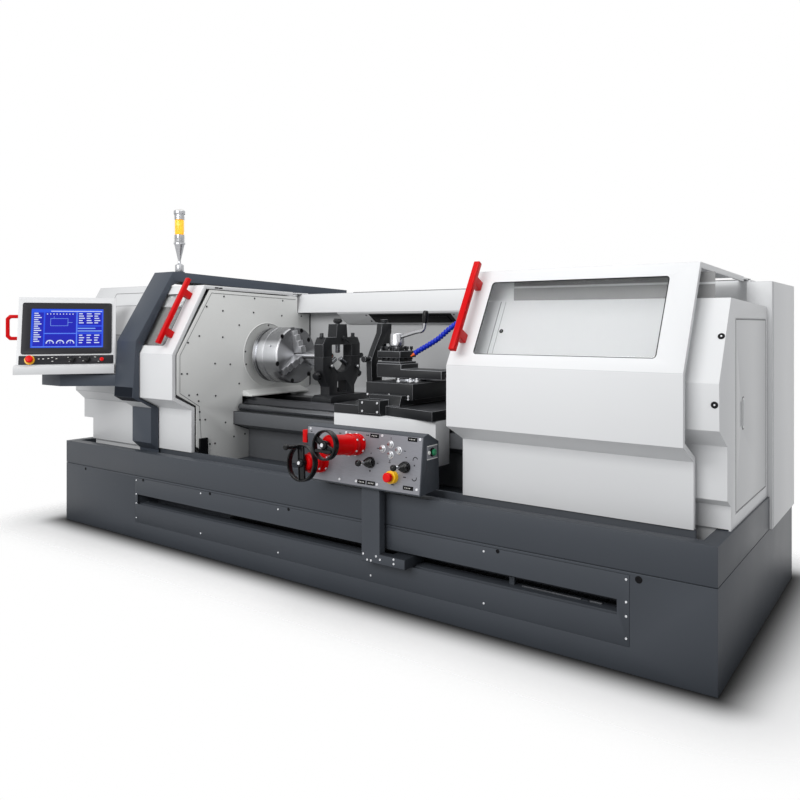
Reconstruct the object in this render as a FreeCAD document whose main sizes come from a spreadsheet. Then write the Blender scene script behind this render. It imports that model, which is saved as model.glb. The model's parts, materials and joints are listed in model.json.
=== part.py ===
import FreeCAD, Part
import math
import os
import Sketcher

V = FreeCAD.Vector
DOC = FreeCAD.newDocument("turning_lathe")

# Stations run from the left end of the base, depths from its front face, heights from the floor.
SIZES = {
    # base and tray
    "base_length": 3920, "base_width": 1478, "base_height": 360,
    "seam_height": 3, "seam_depth": 4, "tray_top": 500, "tray_floor": 430,
    "rim_width": 60, "tray_back": 1045, "tray_nose_back": 840,
    "slot_start": 747, "slot_end_inset": 342, "slot_floor": 199, "slot_roof": 255,
    "plate_start": 724, "plate_end_inset": 296, "plate_floor": 93, "plate_roof": 350, "plate_thickness": 3,
    "plate_gap": 1, "channel_start": 738, "channel_end_inset": 314, "channel_floor": 170,
    "channel_roof": 330, "channel_depth": 150,
    "rail_front": 128, "rail_back": 143, "rail_start": 618, "rail_end_inset": 104, "slide_gap": 0.3,
    # cable chain in the channel
    "chain_front": 94, "chain_width": 50, "chain_link_height": 26, "chain_link_length": 34,
    "chain_pitch": 40, "chain_core_height": 14, "chain_start": 1460,
    "chain_strand_gap": 12, "chain_end_gap": 60,
    # bed
    "bed_start": 650, "bed_end_inset": 170,
    "screw_depth": 470, "screw_height": 742, "screw_radius": 20, "screw_start": 1096,
    "screw_end_inset": 30, "bearing_length": 36, "bearing_clearance": 0.5,
    # headstock and spindle
    "housing_start": 655, "housing_end": 1075, "housing_top": 1320,
    "spindle_depth": 700, "spindle_height": 1050, "spindle_radius": 60, "spindle_start": 660,
    "nose_start": 1094, "nose_radius": 100, "chuck_back": 1150,
    "wall_thickness": 10, "wall_hole_radius": 112, "ring_radius": 197, "ring_width": 5, "ring_height": 3,
    "wall_edge_back": 972, "bed_clearance": 3,
    "wedge_front": 500, "wedge_back": 1000, "wedge_length": 75, "wedge_floor": 804,
    "wedge_edge": 812, "wedge_top": 838,
    # chuck
    "chuck_radius": 170, "chuck_face": 1340, "chuck_bore": 28, "jaw_width": 40, "jaw_depth": 18,
    "jaw_clearance": 0.3, "jaw_step_inner": 58, "jaw_step_middle": 92, "jaw_step_outer": 126,
    "jaw_end": 152, "jaw_reach": 62, "jaw_step": 16, "bar_radius": 19, "bore_depth": 80,
    "bar_end": 1620,
    # sheet covers
    "sheet": 4, "cover_start": 105, "cover_end": 608, "end_cover_start": 5, "end_cover_floor": 640,
    
    "arch_start": 612, "arch_end": 791, "arch_roof_end": 1083, "roof_thickness": 55,
    "arch_back_start": 214, "door_gap": 6,
    "boss_station": 740, "boss_depth": 300, "boss_radius": 32, "boss_top": 1557,
    "beam_start": 620, "beam_end_inset": 94, "beam_back": 1110, 
    "panel_start": 1088, "panel_break": 1422, "panel_sheet": 6,
    "lamp_start": 1690, "lamp_end": 2230, "lamp_width": 64, "lamp_thickness": 8,
    "guard_length": 889, "guard_end_inset": 8, 
    "side_door_front": 297, "side_door_back": 860, "side_door_floor": 549, "side_door_roof": 1258,
    "side_door_gap": 2, "side_door_lap": 12,
    "cabinet_length": 1780, "cabinet_front": 1115, "cabinet_nose_length": 102,
    "cabinet_nose_front": 906, "cabinet_overhang": 10, "cabinet_top": 1422, "cabinet_back": 1477, "cabinet_wall": 20,
    "cabinet_door_length": 900, "cabinet_door_inset": 530, "cabinet_door_floor": 450,
    "cabinet_door_roof": 1340, "cabinet_door_thickness": 6, "cabinet_gap": 6,
    # sliding doors
    "left_door_start": 625, "left_door_end": 1082, "right_door_length": 946, "right_door_inset": 108,
    "door_flange": 22, "arm_width": 40, "arm_front": 900, "arm_back": 1080,
    "window_floor": 1117, "window_roof": 1415, "window_radius": 14, "window_lap": 14,
    "glass": 4, "left_window_before": 95, "left_window_after": 107,
    "right_window_before": 109, "right_window_after": 100,
    "grip_from": 38, "grip_to": 461, "grip_width": 28, "grip_thickness": 24, "grip_stand": 72,
    "bracket_low": 122, "bracket_high": 376, "bracket_length": 40,
    "left_grip_before": 361, "right_grip_before": 35,
    # beacon
    "beacon_foot": 26, "beacon_neck": 9, "beacon_lamp": 33, "beacon_neck_at": 52,
    "beacon_lamp_at": 171, "beacon_height": 381,
    # operator panel
    "panel_station": 393, "panel_depth": -221, "panel_rise": 214, "hub_radius": 38,
    "hub_height": 8, "arm_floor": 878, "arm_top": 945, "swivel_station": 377, "swivel_depth": -210,
    "housing_width": 524, "ledge_width": 530, "ledge_shift": 10, "ledge_height": 47,
    "housing_rise": 395, "ledge_reach": 90, "ledge_inner": 62, "housing_depth": 70,
    "crest_back": 112, 
    "bezel_width": 480, "bezel_height": 310, "bezel_radius": 12, "bezel_thickness": 5,
    "screen_width": 386, "screen_height": 236, "screen_recess": 3,
    "strip_width": 500, "strip_height": 52, "strip_down": 190,
    "panel_stop_at": -193, "stop_radius": 20, "stop_collar": 27, 
    "panel_knob_a": 30, "panel_knob_b": 108, "panel_knob_radius": 15, "panel_knob_height": 20,
    "panel_red_at": 187, "panel_red_radius": 11, "handle_reach": 66, "handle_below": 68,
    "handle_above": 78, "handle_bar": 20,
    # steady rest
    "steady_start": 1633, "steady_thickness": 67, "steady_ring": 88, "split_rise": 2,
    "hinge_depth": 881, "hinge_radius": 8, "finger_radius": 14, "finger_clearance": 0.5,
    "finger_tip": 22, "finger_length": 173, "finger_knob": 22, "finger_knob_height": 26,
    "steady_foot_start": 1597, "steady_foot_end": 1740, "cap_gap": 0.3,
    # saddle group
    "saddle_start": 1985, "saddle_end": 2610, "saddle_top": 832,
    "cross_start": 2117, "cross_end": 2408, "cross_front": 400, "cross_back": 1000,
    "cross_floor": 864, "cross_top": 942, "dovetail_start": 2160, "dovetail_end": 2366,
    "dovetail_top": 884, "dovetail_undercut": 14,
    "top_start": 2062, "top_end": 2473, "top_front": 560, "top_back": 720, 
    "top_top": 1001, "swivel_radius": 108, "swivel_height": 12, "swivel_at": 2262, "swivel_in": 640,
    "rest_block_end": 2222, "rest_block_top": 1028,
    "post_station": 2137, "post_in": 640, "post_width": 149, "post_waist": 118, "post_top": 1095,
    "post_waist_top": 1060, 
    "lever_cap_radius": 40, "lever_cap_top": 36.5, "lever_cap_rise": 1124,
    "lever_cap_height": 1190, "lever_rod": 8, "lever_grip": 16,
    "apron_front": 300, "apron_back": 420, "apron_floor": 570,
    "nut_start": 2240, "nut_end": 2360, "nut_front": 444, "nut_back": 494, "nut_floor": 718,
    # control box
    "box_start": 2138, "box_end": 2787, "box_inset": 43, "carrier_start": 2456, "carrier_end": 2555,
    "carrier_front": -60, "carrier_back": -20, "carrier_foot_end": 2690, "carrier_floor": 202,
    "carrier_foot_top": 246, "shoe_back": 88,
    "wheel_upper_at": 2440, "wheel_upper_down": 62, "wheel_upper_stand": 200, "wheel_upper_radius": 64,
    "wheel_lower_at": 2236, "wheel_lower_down": 160, "wheel_lower_stand": 112, "wheel_lower_radius": 82,
    "upper_barrel": 43, "lower_barrel": 38, "barrel_flange": 47, "barrel_flange_height": 22,
    "wheel_hub": 17, "wheel_rim": 8, "wheel_hub_height": 34, "wheel_gap": 0.5,
    "crank_radius": 10, "crank_length": 70,
    "boot_a": 2520, "boot_b": 2705, "boot_down": 132, "boot_radius": 24, "boot_height": 46,
    "stick_length": 88, "stick_ball": 13, "stick_radius": 5, "boot_bore_depth": 10,
    "box_stop_at": 2644, "box_stop_down": 180, "start_in": 0, "start_height": 702,
    "start_radius": 14, "start_reach": 12, "button_radius": 12, "button_reach": 10,
    # tailstock
    "tail_length": 310, "tail_inset": 250, "quill_radius": 35, "quill_reach": 80, "quill_inset": 20,
    "tail_barrel": 75, "tail_wheel_radius": 110, "centre_length": 70,
    "guide_front": 20, "back_sheet_depth": 1090, "slide_front": 912, "slide_low": 760, "slide_high": 836,
    "lamp_high": 1305, "lamp_low": 1238, "lamp_back": 1079, "guard_flange": 26,
    "side_grip_width": 16, "side_grip_height": 94, "side_grip_floor": 856,
    "groove_first": 16, "groove_second": 30, "groove_width": 4, "groove_depth": 3,
    "arm_end_front": -50, "arm_end_back": 55, "arm_knee_station": 370, "arm_knee_depth": -253,
    "arm_tip_station": 171, "arm_elbow_depth": -140, "stem_radius": 8, "handle_back": 50,
    "stop_rise": 16, "rim_step": 12, "key_radius": 7, "key_back": 60, "steady_half": 164,
    "steady_foot_top": 832, "steady_arch_width": 84, "steady_arch_height": 66, "hinge_lug": 16,
    "cap_rise": 113, "tower_half": 42, "tower_rise": 189, "gate_rise": 70,
    "saddle_front": 300, "plate_left": 2152, "plate_right": 2285, "plate_top": 862,
    "dovetail_front": 366, "dovetail_clearance": 0.5, "guide_height": 30, "top_lift": 2,
    "stud_radius": 14, "post_flange": 10, "hose_rise": 270, "hose_radius": 12, "pipe_radius": 9,
    "follow_start": 1990, "follow_thickness": 35, "follow_pin": 12, "spoke_width": 16,
    "spoke_thickness": 8, "crank_peg": 4, "stop_sleeve": 24, "start_plate_width": 78,
    "start_plate_height": 60, "press": 5, "centre_radius": 14,
}

OUTLINES = {
    "door": ("sill", 118, 512, "hip", 118, 752, "belly", -13, 818, "brow", -13, 1070,
             "crown", 211, 1464, "rear", 933, 1447),
    "arch": ("toe", 112, 500, "shin", 60, 546, "knee", 60, 750, "belly", -62, 821,
             "brow", -42, 1140, "crown", 216, 1553, "rear", 1477, 1480),
    "cover": ("shin", 120, 500, "knee", 120, 760, "belly", 60, 816, "brow", 60, 1171,
              "crown", 235, 1476, "rear", 1450, 1452),
    "wall": ("toe", 182, 521, "shin", 152, 541, "knee", 152, 772, "belly", 17, 846,
             "brow", 17, 1067, "crown", 248, 1437, "rear", 972, 1416),
    "beam": ("sill", 976, 1312, "edge", 1016, 1436),
    "guard": ("shin", 225, 588, "knee", 170, 617, "belly", 168, 808, "hip", 55, 875,
              "brow", 50, 1036, "crown", 225, 1332, "rear", 888, 1312),
    "bed": ("web", 550, 600, "lip", 428, 643, "band", 428, 714, "cheek", 505, 714,
            "way", 498, 762, "flank", 506, 782, "crest", 525, 800, "flat", 550, 785,
            "gap", 600, 785, "valley", 600, 700, "ridge", 800, 700, "track", 800, 785,
            "rear", 900, 785, "back", 900, 640, "heel", 850, 600),
    "box": ("brow", -60, 772, "ridge", -27, 781, "rear", 50, 742, "heel", 55, 540, "toe", -87, 530),
}


class Formula:
    def __init__(self, text, value):
        self.text = text
        self.value = float(value)

    def __add__(self, other):
        return combine(self, "+", other)

    def __radd__(self, other):
        return combine(other, "+", self)

    def __sub__(self, other):
        return combine(self, "-", other)

    def __rsub__(self, other):
        return combine(other, "-", self)

    def __mul__(self, other):
        return combine(self, "*", other)

    def __rmul__(self, other):
        return combine(other, "*", self)

    def __truediv__(self, other):
        return combine(self, "/", other)

    def __neg__(self):
        return combine(0, "-", self)


def text_of(item):
    if isinstance(item, Formula):
        return item.text
    number = f"{float(item):.6f}"
    return f"({number})" if item < 0 else number


def value_of(item):
    return item.value if isinstance(item, Formula) else float(item)


def combine(first, sign, second):
    a, b = value_of(first), value_of(second)
    value = {"+": a + b, "-": a - b, "*": a * b}.get(sign)
    if sign == "/":
        value = a / b
    return Formula(f"({text_of(first)} {sign} {text_of(second)})", value)


def whole(item):
    return Formula(f"floor({item.text})", math.floor(item.value))


def root(item):
    return Formula(f"sqrt({item.text})", math.sqrt(item.value))


class Names:
    pass


S = Names()
SHEET = DOC.addObject("Spreadsheet::Sheet", "Sizes")
OUTLINE_POINTS = {}


def register(name, value, row):
    SHEET.set(f"A{row}", name)
    SHEET.set(f"B{row}", str(value))
    SHEET.setAlias(f"B{row}", name)
    formula = Formula(f"Sizes.{name}", value)
    setattr(S, name, formula)
    return formula


ROW = 0
for name, value in SIZES.items():
    ROW += 1
    register(name, value, ROW)
for outline, entries in OUTLINES.items():
    OUTLINE_POINTS[outline] = {}
    for corner, depth, height in zip(entries[0::3], entries[1::3], entries[2::3]):
        ROW += 2
        OUTLINE_POINTS[outline][corner] = (
            register(f"{outline}_{corner}_depth", depth, ROW - 1),
            register(f"{outline}_{corner}_height", height, ROW))


# what follows from the sizes above
for name, place_at in {
        "slot_end": S.base_length - S.slot_end_inset, "plate_end": S.base_length - S.plate_end_inset,
        "channel_end": S.base_length - S.channel_end_inset, "rail_end": S.base_length - S.rail_end_inset,
        "bed_end": S.base_length - S.bed_end_inset, "beam_end": S.base_length - S.beam_end_inset,
        "guard_end": S.base_length - S.guard_end_inset, "cabinet_end": S.base_length + S.cabinet_overhang,
        "right_door_end": S.base_length - S.right_door_inset,
        "split_height": S.spindle_height + S.split_rise, "cap_top": S.spindle_height + S.cap_rise,
        "tower_top": S.spindle_height + S.tower_rise, "gate_top": S.spindle_height + S.gate_rise,
        "ledge_roof": S.arm_top + S.hub_height + S.ledge_height,
        "left_window_start": S.left_door_start + S.left_window_before,
        "left_window_end": S.left_door_end - S.left_window_after,
        "left_grip_station": S.left_door_start + S.left_grip_before}.items():
    setattr(S, name, place_at)
for name, place_at in {
        "screw_end": S.bed_end - S.screw_end_inset, "guard_start": S.guard_end - S.guard_length,
        "cabinet_nose_start": S.cabinet_end - S.cabinet_nose_length,
        "cabinet_start": S.cabinet_end - S.cabinet_length, "cabinet_door_end": S.cabinet_end - S.cabinet_door_inset,
        "right_door_start": S.right_door_end - S.right_door_length, "tail_end": S.bed_end - S.tail_inset,
        "right_window_end": S.right_door_end - S.right_window_after,
        "panel_height": S.ledge_roof + S.panel_rise, "housing_roof": S.ledge_roof + S.housing_rise}.items():
    setattr(S, name, place_at)
for name, place_at in {
        "cabinet_door_start": S.cabinet_door_end - S.cabinet_door_length,
        "right_window_start": S.right_door_start + S.right_window_before,
        "right_grip_station": S.right_door_start + S.right_grip_before, "tail_start": S.tail_end - S.tail_length,
        "quill_end": S.tail_end - S.quill_inset, "handle_floor": S.panel_height - S.handle_below,
        "handle_roof": S.panel_height + S.handle_above}.items():
    setattr(S, name, place_at)
S.quill_start = S.tail_start - S.quill_reach
S.chain_lower_links = whole((S.channel_end - S.chain_end_gap - S.chain_start) / S.chain_pitch)
S.chain_upper_links = whole((S.carrier_start - S.chain_start) / S.chain_pitch)


def corners(outline, *names):
    points = OUTLINE_POINTS[outline]
    return [points[name] for name in (names or points)]


def shifted(points, depth, height):
    return [(a + depth, b + height) for a, b in points]


# ---- drawing and solids -------------------------------------------------------------------

def turn(x_axis, y_axis, z_axis):
    return FreeCAD.Rotation(V(*x_axis), V(*y_axis), V(*z_axis), "ZXY")


UPRIGHT = FreeCAD.Rotation()
ALONG_X = turn((0, 1, 0), (0, 0, 1), (1, 0, 0))
ALONG_FRONT = turn((1, 0, 0), (0, 0, 1), (0, -1, 0))


def towards(x, y, z):
    return FreeCAD.Rotation(V(0, 0, 1), V(x, y, z))


def place(shape, origin, rotation=UPRIGHT):
    centred = (origin[0] - S.base_length / 2, origin[1] - S.base_width / 2, origin[2] + Formula("0", 0))
    shape.Placement = FreeCAD.Placement(V(*[part.value for part in centred]), rotation)
    for axis, part in zip("xyz", centred):
        shape.setExpression(f"Placement.Base.{axis}", part.text)
    return shape


def link(shape, **sizes):
    for name, item in sizes.items():
        if isinstance(item, Formula):
            shape.setExpression(name, item.text)
        else:
            setattr(shape, name, item)
    return shape


def box(label, start, end):
    shape = DOC.addObject("Part::Box", label)
    link(shape, Length=end[0] - start[0], Width=end[1] - start[1], Height=end[2] - start[2])
    return place(shape, start)


def rod(label, radius, length, origin, rotation=UPRIGHT):
    shape = DOC.addObject("Part::Cylinder", label)
    link(shape, Radius=radius, Height=length)
    return place(shape, origin, rotation)


def constrain(sketch, rules):
    first = sketch.ConstraintCount
    sketch.addConstraint([Sketcher.Constraint(*arguments) for arguments, item in rules])
    for index, (arguments, item) in enumerate(rules):
        if isinstance(item, Formula):
            sketch.setExpression(f"Constraints[{first + index}]", item.text)


def fix_point(line, end, point):
    x, y = point
    return [(("DistanceX", -1, 1, line, end, value_of(x)), x),
            (("DistanceY", -1, 1, line, end, value_of(y)), y)]


def draw_loop(sketch, spots):
    first = sketch.GeometryCount
    count = len(spots)
    sketch.addGeometry([Part.LineSegment(V(*spots[i], 0), V(*spots[(i + 1) % count], 0))
                        for i in range(count)], False)
    constrain(sketch, [(("Coincident", first + i, 2, first + (i + 1) % count, 1), None)
                       for i in range(count)])
    return first


def draw_polygon(sketch, points):
    first = draw_loop(sketch, [(value_of(x), value_of(y)) for x, y in points])
    rules = []
    for index, point in enumerate(points):
        rules += fix_point(first + index, 1, point)
    constrain(sketch, rules)


def draw_circle(sketch, x, y, radius):
    line = sketch.GeometryCount
    sketch.addGeometry(Part.Circle(V(value_of(x), value_of(y), 0), V(0, 0, 1), value_of(radius)), False)
    constrain(sketch, fix_point(line, 3, (x, y)) + [(("Radius", line, value_of(radius)), radius)])


def offset_line(spots, distance):
    def normal(a, b):
        length = math.hypot(b[0] - a[0], b[1] - a[1])
        return (b[1] - a[1]) / length, (a[0] - b[0]) / length
    sides = [normal(a, b) for a, b in zip(spots, spots[1:])]
    result = []
    for index, spot in enumerate(spots):
        before = sides[max(index - 1, 0)]
        after = sides[min(index, len(sides) - 1)]
        scale = distance / (1 + before[0] * after[0] + before[1] * after[1])
        result.append((spot[0] + (before[0] + after[0]) * scale, spot[1] + (before[1] + after[1]) * scale))
    return result


def draw_strip(sketch, points, thickness):
    outer = [(value_of(x), value_of(y)) for x, y in points]
    inner = offset_line(outer, value_of(thickness))
    draw_loop(sketch, outer + inner[::-1])
    count = len(points)
    total = 2 * count
    rules = []
    for index, point in enumerate(points):
        rules += fix_point(index, 1, point)
    for index in range(count - 1):
        rules.append((("Parallel", index, total - 2 - index), None))
        rules.append((("Distance", total - 2 - index, 1, index, value_of(thickness)), thickness))
    rules.append((("Perpendicular", total - 1, 0), None))
    rules.append((("Perpendicular", count - 1, count - 2), None))
    constrain(sketch, rules)


def draw_pane(sketch, width, height, radius):
    w, h, r = value_of(width) / 2, value_of(height) / 2, value_of(radius)
    edges = [((r - w, -h), (w - r, -h)), ((w, r - h), (w, h - r)),
             ((w - r, h), (r - w, h)), ((-w, h - r), (-w, r - h))]
    centres = [(w - r, r - h), (w - r, h - r), (r - w, h - r), (r - w, r - h)]
    shapes = []
    for index, (edge, centre) in enumerate(zip(edges, centres)):
        shapes.append(Part.LineSegment(V(*edge[0], 0), V(*edge[1], 0)))
        circle = Part.Circle(V(*centre, 0), V(0, 0, 1), r)
        shapes.append(Part.ArcOfCircle(circle, (index - 1) * math.pi / 2, index * math.pi / 2))
    sketch.addGeometry(shapes, False)
    rules = [(("Tangent", i, 2, (i + 1) % 8, 1), None) for i in range(8)]
    rules += [(("Horizontal", 0), None), (("Vertical", 2), None),
              (("Horizontal", 4), None), (("Vertical", 6), None)]
    rules += [(("Equal", 1, arc), None) for arc in (3, 5, 7)]
    rules.append((("Radius", 1, r), radius))
    rules += [(("DistanceX", -1, 1, 2, 1, w), width / 2), (("DistanceX", 6, 1, -1, 1, w), width / 2),
              (("DistanceY", -1, 1, 4, 1, h), height / 2), (("DistanceY", 0, 1, -1, 1, h), height / 2)]
    constrain(sketch, rules)


def new_body(label, plane):
    body = DOC.addObject("PartDesign::Body", label)
    sketch = body.newObject("Sketcher::SketchObject", label + "_outline")
    support = [item for item in body.Origin.OriginFeatures if item.Role == plane][0]
    sketch.AttachmentSupport = [(support, "")]
    sketch.MapMode = "FlatFace"
    return body, sketch


def pad(body, sketch, label, length, origin, rotation):
    feature = body.newObject("PartDesign::Pad", label + "_pad")
    feature.Profile = sketch
    link(feature, Length=length)
    return place(body, origin, rotation)


def prism(label, points, length, origin, rotation=ALONG_X, holes=()):
    body, sketch = new_body(label, "XY_Plane")
    draw_polygon(sketch, points)
    for hole in holes:
        draw_circle(sketch, *hole)
    return pad(body, sketch, label, length, origin, rotation)


def strip(label, points, thickness, length, origin, rotation=ALONG_X):
    body, sketch = new_body(label, "XY_Plane")
    draw_strip(sketch, points, thickness)
    return pad(body, sketch, label, length, origin, rotation)


def pane(label, width, height, radius, length, origin, rotation):
    body, sketch = new_body(label, "XY_Plane")
    draw_pane(sketch, width, height, radius)
    return pad(body, sketch, label, length, origin, rotation)


def turned(label, points, origin, rotation=UPRIGHT):
    body, sketch = new_body(label, "XZ_Plane")
    draw_polygon(sketch, points)
    feature = body.newObject("PartDesign::Revolution", label + "_round")
    feature.Profile = sketch
    feature.ReferenceAxis = (sketch, ["V_Axis"])
    feature.Angle = 360
    return place(body, origin, rotation)


def fuse(label, *shapes):
    result = DOC.addObject("Part::MultiFuse", label)
    result.Shapes = list(shapes)
    result.Refine = True
    return result


def cut(label, base, *tools):
    result = DOC.addObject("Part::Cut", label)
    result.Base = base
    result.Tool = tools[0] if len(tools) == 1 else fuse(label + "_tools", *tools)
    result.Refine = True
    return result


NODES = {}


def node(shape, label=None):
    shape.Label = label or shape.Label
    NODES[shape.Label] = shape
    return shape


# ---- base, plate, chain and tray ----------------------------------------------------------

GUIDE_TOP = S.carrier_floor - S.slide_gap

block = box("base_block", (0, 0, 0), (S.base_length, S.base_width, S.base_height))
recess = box("plate_recess", (S.plate_start, -1, S.plate_floor), (S.plate_end, S.plate_thickness, S.plate_roof))
channel = box("chain_channel", (S.channel_start, 0, S.channel_floor),
              (S.channel_end, S.channel_depth, S.channel_roof))
guide = box("arm_guide", (S.channel_start, S.guide_front, S.channel_floor),
            (S.channel_end, S.shoe_back, GUIDE_TOP))
hollow = cut("base_hollow", block, recess, channel)
node(fuse("base_box", hollow, guide))

plate = box("plate_sheet", (S.plate_start + S.plate_gap, 0, S.plate_floor + S.plate_gap),
            (S.plate_end - S.plate_gap, S.plate_thickness, S.plate_roof - S.plate_gap))
slot = box("plate_slot", (S.slot_start, -1, S.slot_floor), (S.slot_end, S.plate_thickness + 1, S.slot_roof))
node(cut("slot_plate", plate, slot))


def chain_strand(label, floor, count):
    body = DOC.addObject("PartDesign::Body", label)
    support = [item for item in body.Origin.OriginFeatures if item.Role == "XZ_Plane"][0]
    pads = []
    middle = S.chain_link_height / 2
    core = S.chain_core_height / 2
    outlines = (((S.chain_pitch * -0.5, middle - core), (S.chain_pitch * (count - 0.5), middle + core)),
                ((S.chain_link_length * -0.5, Formula("0", 0)), (S.chain_link_length / 2, S.chain_link_height)))
    for index, ((x0, y0), (x1, y1)) in enumerate(outlines):
        sketch = body.newObject("Sketcher::SketchObject", f"{label}_outline_{index}")
        sketch.AttachmentSupport = [(support, "")]
        sketch.MapMode = "FlatFace"
        draw_polygon(sketch, [(x0, y0), (x1, y0), (x1, y1), (x0, y1)])
        feature = body.newObject("PartDesign::Pad", f"{label}_pad_{index}")
        feature.Profile = sketch
        link(feature, Length=S.chain_width)
        pads.append(feature)
    pattern = body.newObject("PartDesign::LinearPattern", label + "_links")
    pattern.Originals = [pads[1]]
    pattern.Direction = (pads[1].Profile[0], ["H_Axis"])
    pattern.setExpression("Length", (S.chain_pitch * (count - 1)).text)
    pattern.setExpression("Occurrences", count.text)
    body.Tip = pattern
    return place(body, (S.chain_start + S.chain_pitch / 2, S.chain_front + S.chain_width, floor))


upper_floor = S.channel_floor + S.chain_link_height + S.chain_strand_gap
bend_outer = S.chain_link_height + S.chain_strand_gap / 2
bend_inner = S.chain_strand_gap / 2
bend = prism("chain_bend", [(0, bend_outer), (-0.7 * bend_outer, 0.7 * bend_outer), (-bend_outer, Formula("0", 0)),
                            (-0.7 * bend_outer, -0.7 * bend_outer), (0, -bend_outer), (0, -bend_inner),
                            (-bend_inner, -0.4 * bend_inner), (-bend_inner, 0.4 * bend_inner),
                            (0, bend_inner)], S.chain_width,
             (S.chain_start, S.chain_front + S.chain_width, S.channel_floor + bend_outer), ALONG_FRONT)
upper_end = S.chain_start + S.chain_pitch * S.chain_upper_links
tab = box("chain_tab", (upper_end - 40, S.shoe_back + S.slide_gap, upper_floor + 6),
          (upper_end + 60, S.chain_front + 8, upper_floor + S.chain_link_height - 2))
node(fuse("drag_chain", chain_strand("chain_lower", S.channel_floor, S.chain_lower_links),
          chain_strand("chain_upper", upper_floor, S.chain_upper_links), bend, tab))


def tray_outline(inset):
    nose_front = S.cabinet_nose_front - S.cabinet_gap - inset
    nose_start = S.cabinet_nose_start - S.cabinet_gap - inset
    middle_back = S.cabinet_front - S.cabinet_gap - inset
    step = S.cabinet_start - S.cabinet_gap - inset
    return [(inset, inset), (S.base_length - inset, inset), (S.base_length - inset, nose_front),
            (nose_start, nose_front), (nose_start, middle_back), (step, middle_back),
            (step, S.base_width - inset), (inset, S.base_width - inset)]


ZERO = Formula("0", 0)
ORIGIN = (ZERO, ZERO, ZERO)
tray_floor_at = S.base_height + S.seam_height
plinth = prism("tray_plinth", tray_outline(S.seam_depth), S.seam_height + 1, (0, 0, S.base_height), UPRIGHT)
upper = prism("tray_block", tray_outline(ZERO), S.tray_top - tray_floor_at, (0, 0, tray_floor_at), UPRIGHT)
nose_inner = S.cabinet_nose_start - S.cabinet_gap - S.rim_width
cavity = prism("tray_cavity", [(S.rim_width, S.rim_width), (S.base_length - S.rim_width, S.rim_width),
                               (S.base_length - S.rim_width, S.tray_nose_back),
                               (nose_inner, S.tray_nose_back), (nose_inner, S.tray_back),
                               (S.rim_width, S.tray_back)],
               S.tray_top - S.tray_floor + 1, (0, 0, S.tray_floor), UPRIGHT)
rail = box("door_rail", (S.rail_start, S.rail_front, S.tray_floor - 1),
           (S.rail_end, S.rail_back, S.door_sill_height - S.slide_gap))
tray = fuse("tray_shell", upper, plinth)
node(fuse("chip_tray", cut("tray_hollow", tray, cavity), rail))

# ---- bed, headstock and ball screw --------------------------------------------------------

bed_feet = [(S.bed_heel_depth, S.tray_floor), (S.bed_web_depth, S.tray_floor)]
bed_body = prism("bed_body", corners("bed") + bed_feet, S.bed_end - S.bed_start, (S.bed_start, 0, 0))
bore = S.screw_radius + S.bearing_clearance


def bearing(label, start):
    points = [(S.screw_depth - 26, S.bed_band_height), (S.bed_cheek_depth + 5, S.bed_band_height),
              (S.bed_cheek_depth + 5, S.bed_way_height), (S.screw_depth - 26, S.bed_way_height)]
    return prism(label, points, S.bearing_length, (start, 0, 0), holes=[(S.screw_depth, S.screw_height, bore)])


node(fuse("bed", bed_body, bearing("left_bearing", S.screw_start - 6),
          bearing("right_bearing", S.screw_end - S.bearing_length + 6)))
node(rod("ball_screw", S.screw_radius, S.screw_end - S.screw_start,
         (S.screw_start, S.screw_depth, S.screw_height), towards(1, 0, 0)))

shoe_front = S.bed_flat_depth + 6
shoe_high = S.bed_crest_height + S.bed_clearance
spindle_bore = S.spindle_radius + S.bearing_clearance
housing = [(S.bed_way_depth - 18, shoe_high), (shoe_front, shoe_high), (shoe_front, S.bed_flat_height),
           (S.bed_rear_depth, S.bed_flat_height), (S.bed_rear_depth, S.housing_top - 60),
           (S.bed_rear_depth - 60, S.housing_top), (S.bed_way_depth + 42, S.housing_top),
           (S.bed_way_depth - 18, S.housing_top - 60)]
node(prism("headstock_housing", housing, S.housing_end - S.housing_start, (S.housing_start, 0, 0),
           holes=[(S.spindle_depth, S.spindle_height, spindle_bore)]))

# ---- fixed sheet covers -------------------------------------------------------------------

SPINDLE = (S.spindle_depth, S.spindle_height)
cover_line = ([(S.cover_shin_depth + 20, S.tray_floor), (S.cover_shin_depth + 20, S.tray_top + 8),
               (S.cover_shin_depth, S.tray_top + 8)]
              + corners("cover", "knee", "belly", "brow", "crown", "rear")
              + [(S.cover_rear_depth, S.tray_top)])
cover_shell = strip("cover_shell", cover_line, S.sheet, S.cover_end - S.cover_start, (S.cover_start, 0, 0))
end_line = ([(S.cover_knee_depth, S.end_cover_floor)] + corners("cover", "knee", "belly", "brow", "crown", "rear")
            + [(S.cover_rear_depth, S.end_cover_floor)])
end_block = prism("end_block", end_line, S.cover_start + S.sheet - S.end_cover_start, (S.end_cover_start, 0, 0))
end_skirt = prism("end_skirt", [(S.cover_shin_depth + 20, S.tray_top + 8), (S.cover_rear_depth, S.tray_top + 8),
                                (S.cover_rear_depth, S.end_cover_floor + 1),
                                (S.cover_shin_depth + 20, S.end_cover_floor + 1)],
                  S.sheet, (S.cover_start, 0, 0))
node(fuse("headstock_cover", cover_shell, end_block, end_skirt))

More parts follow.
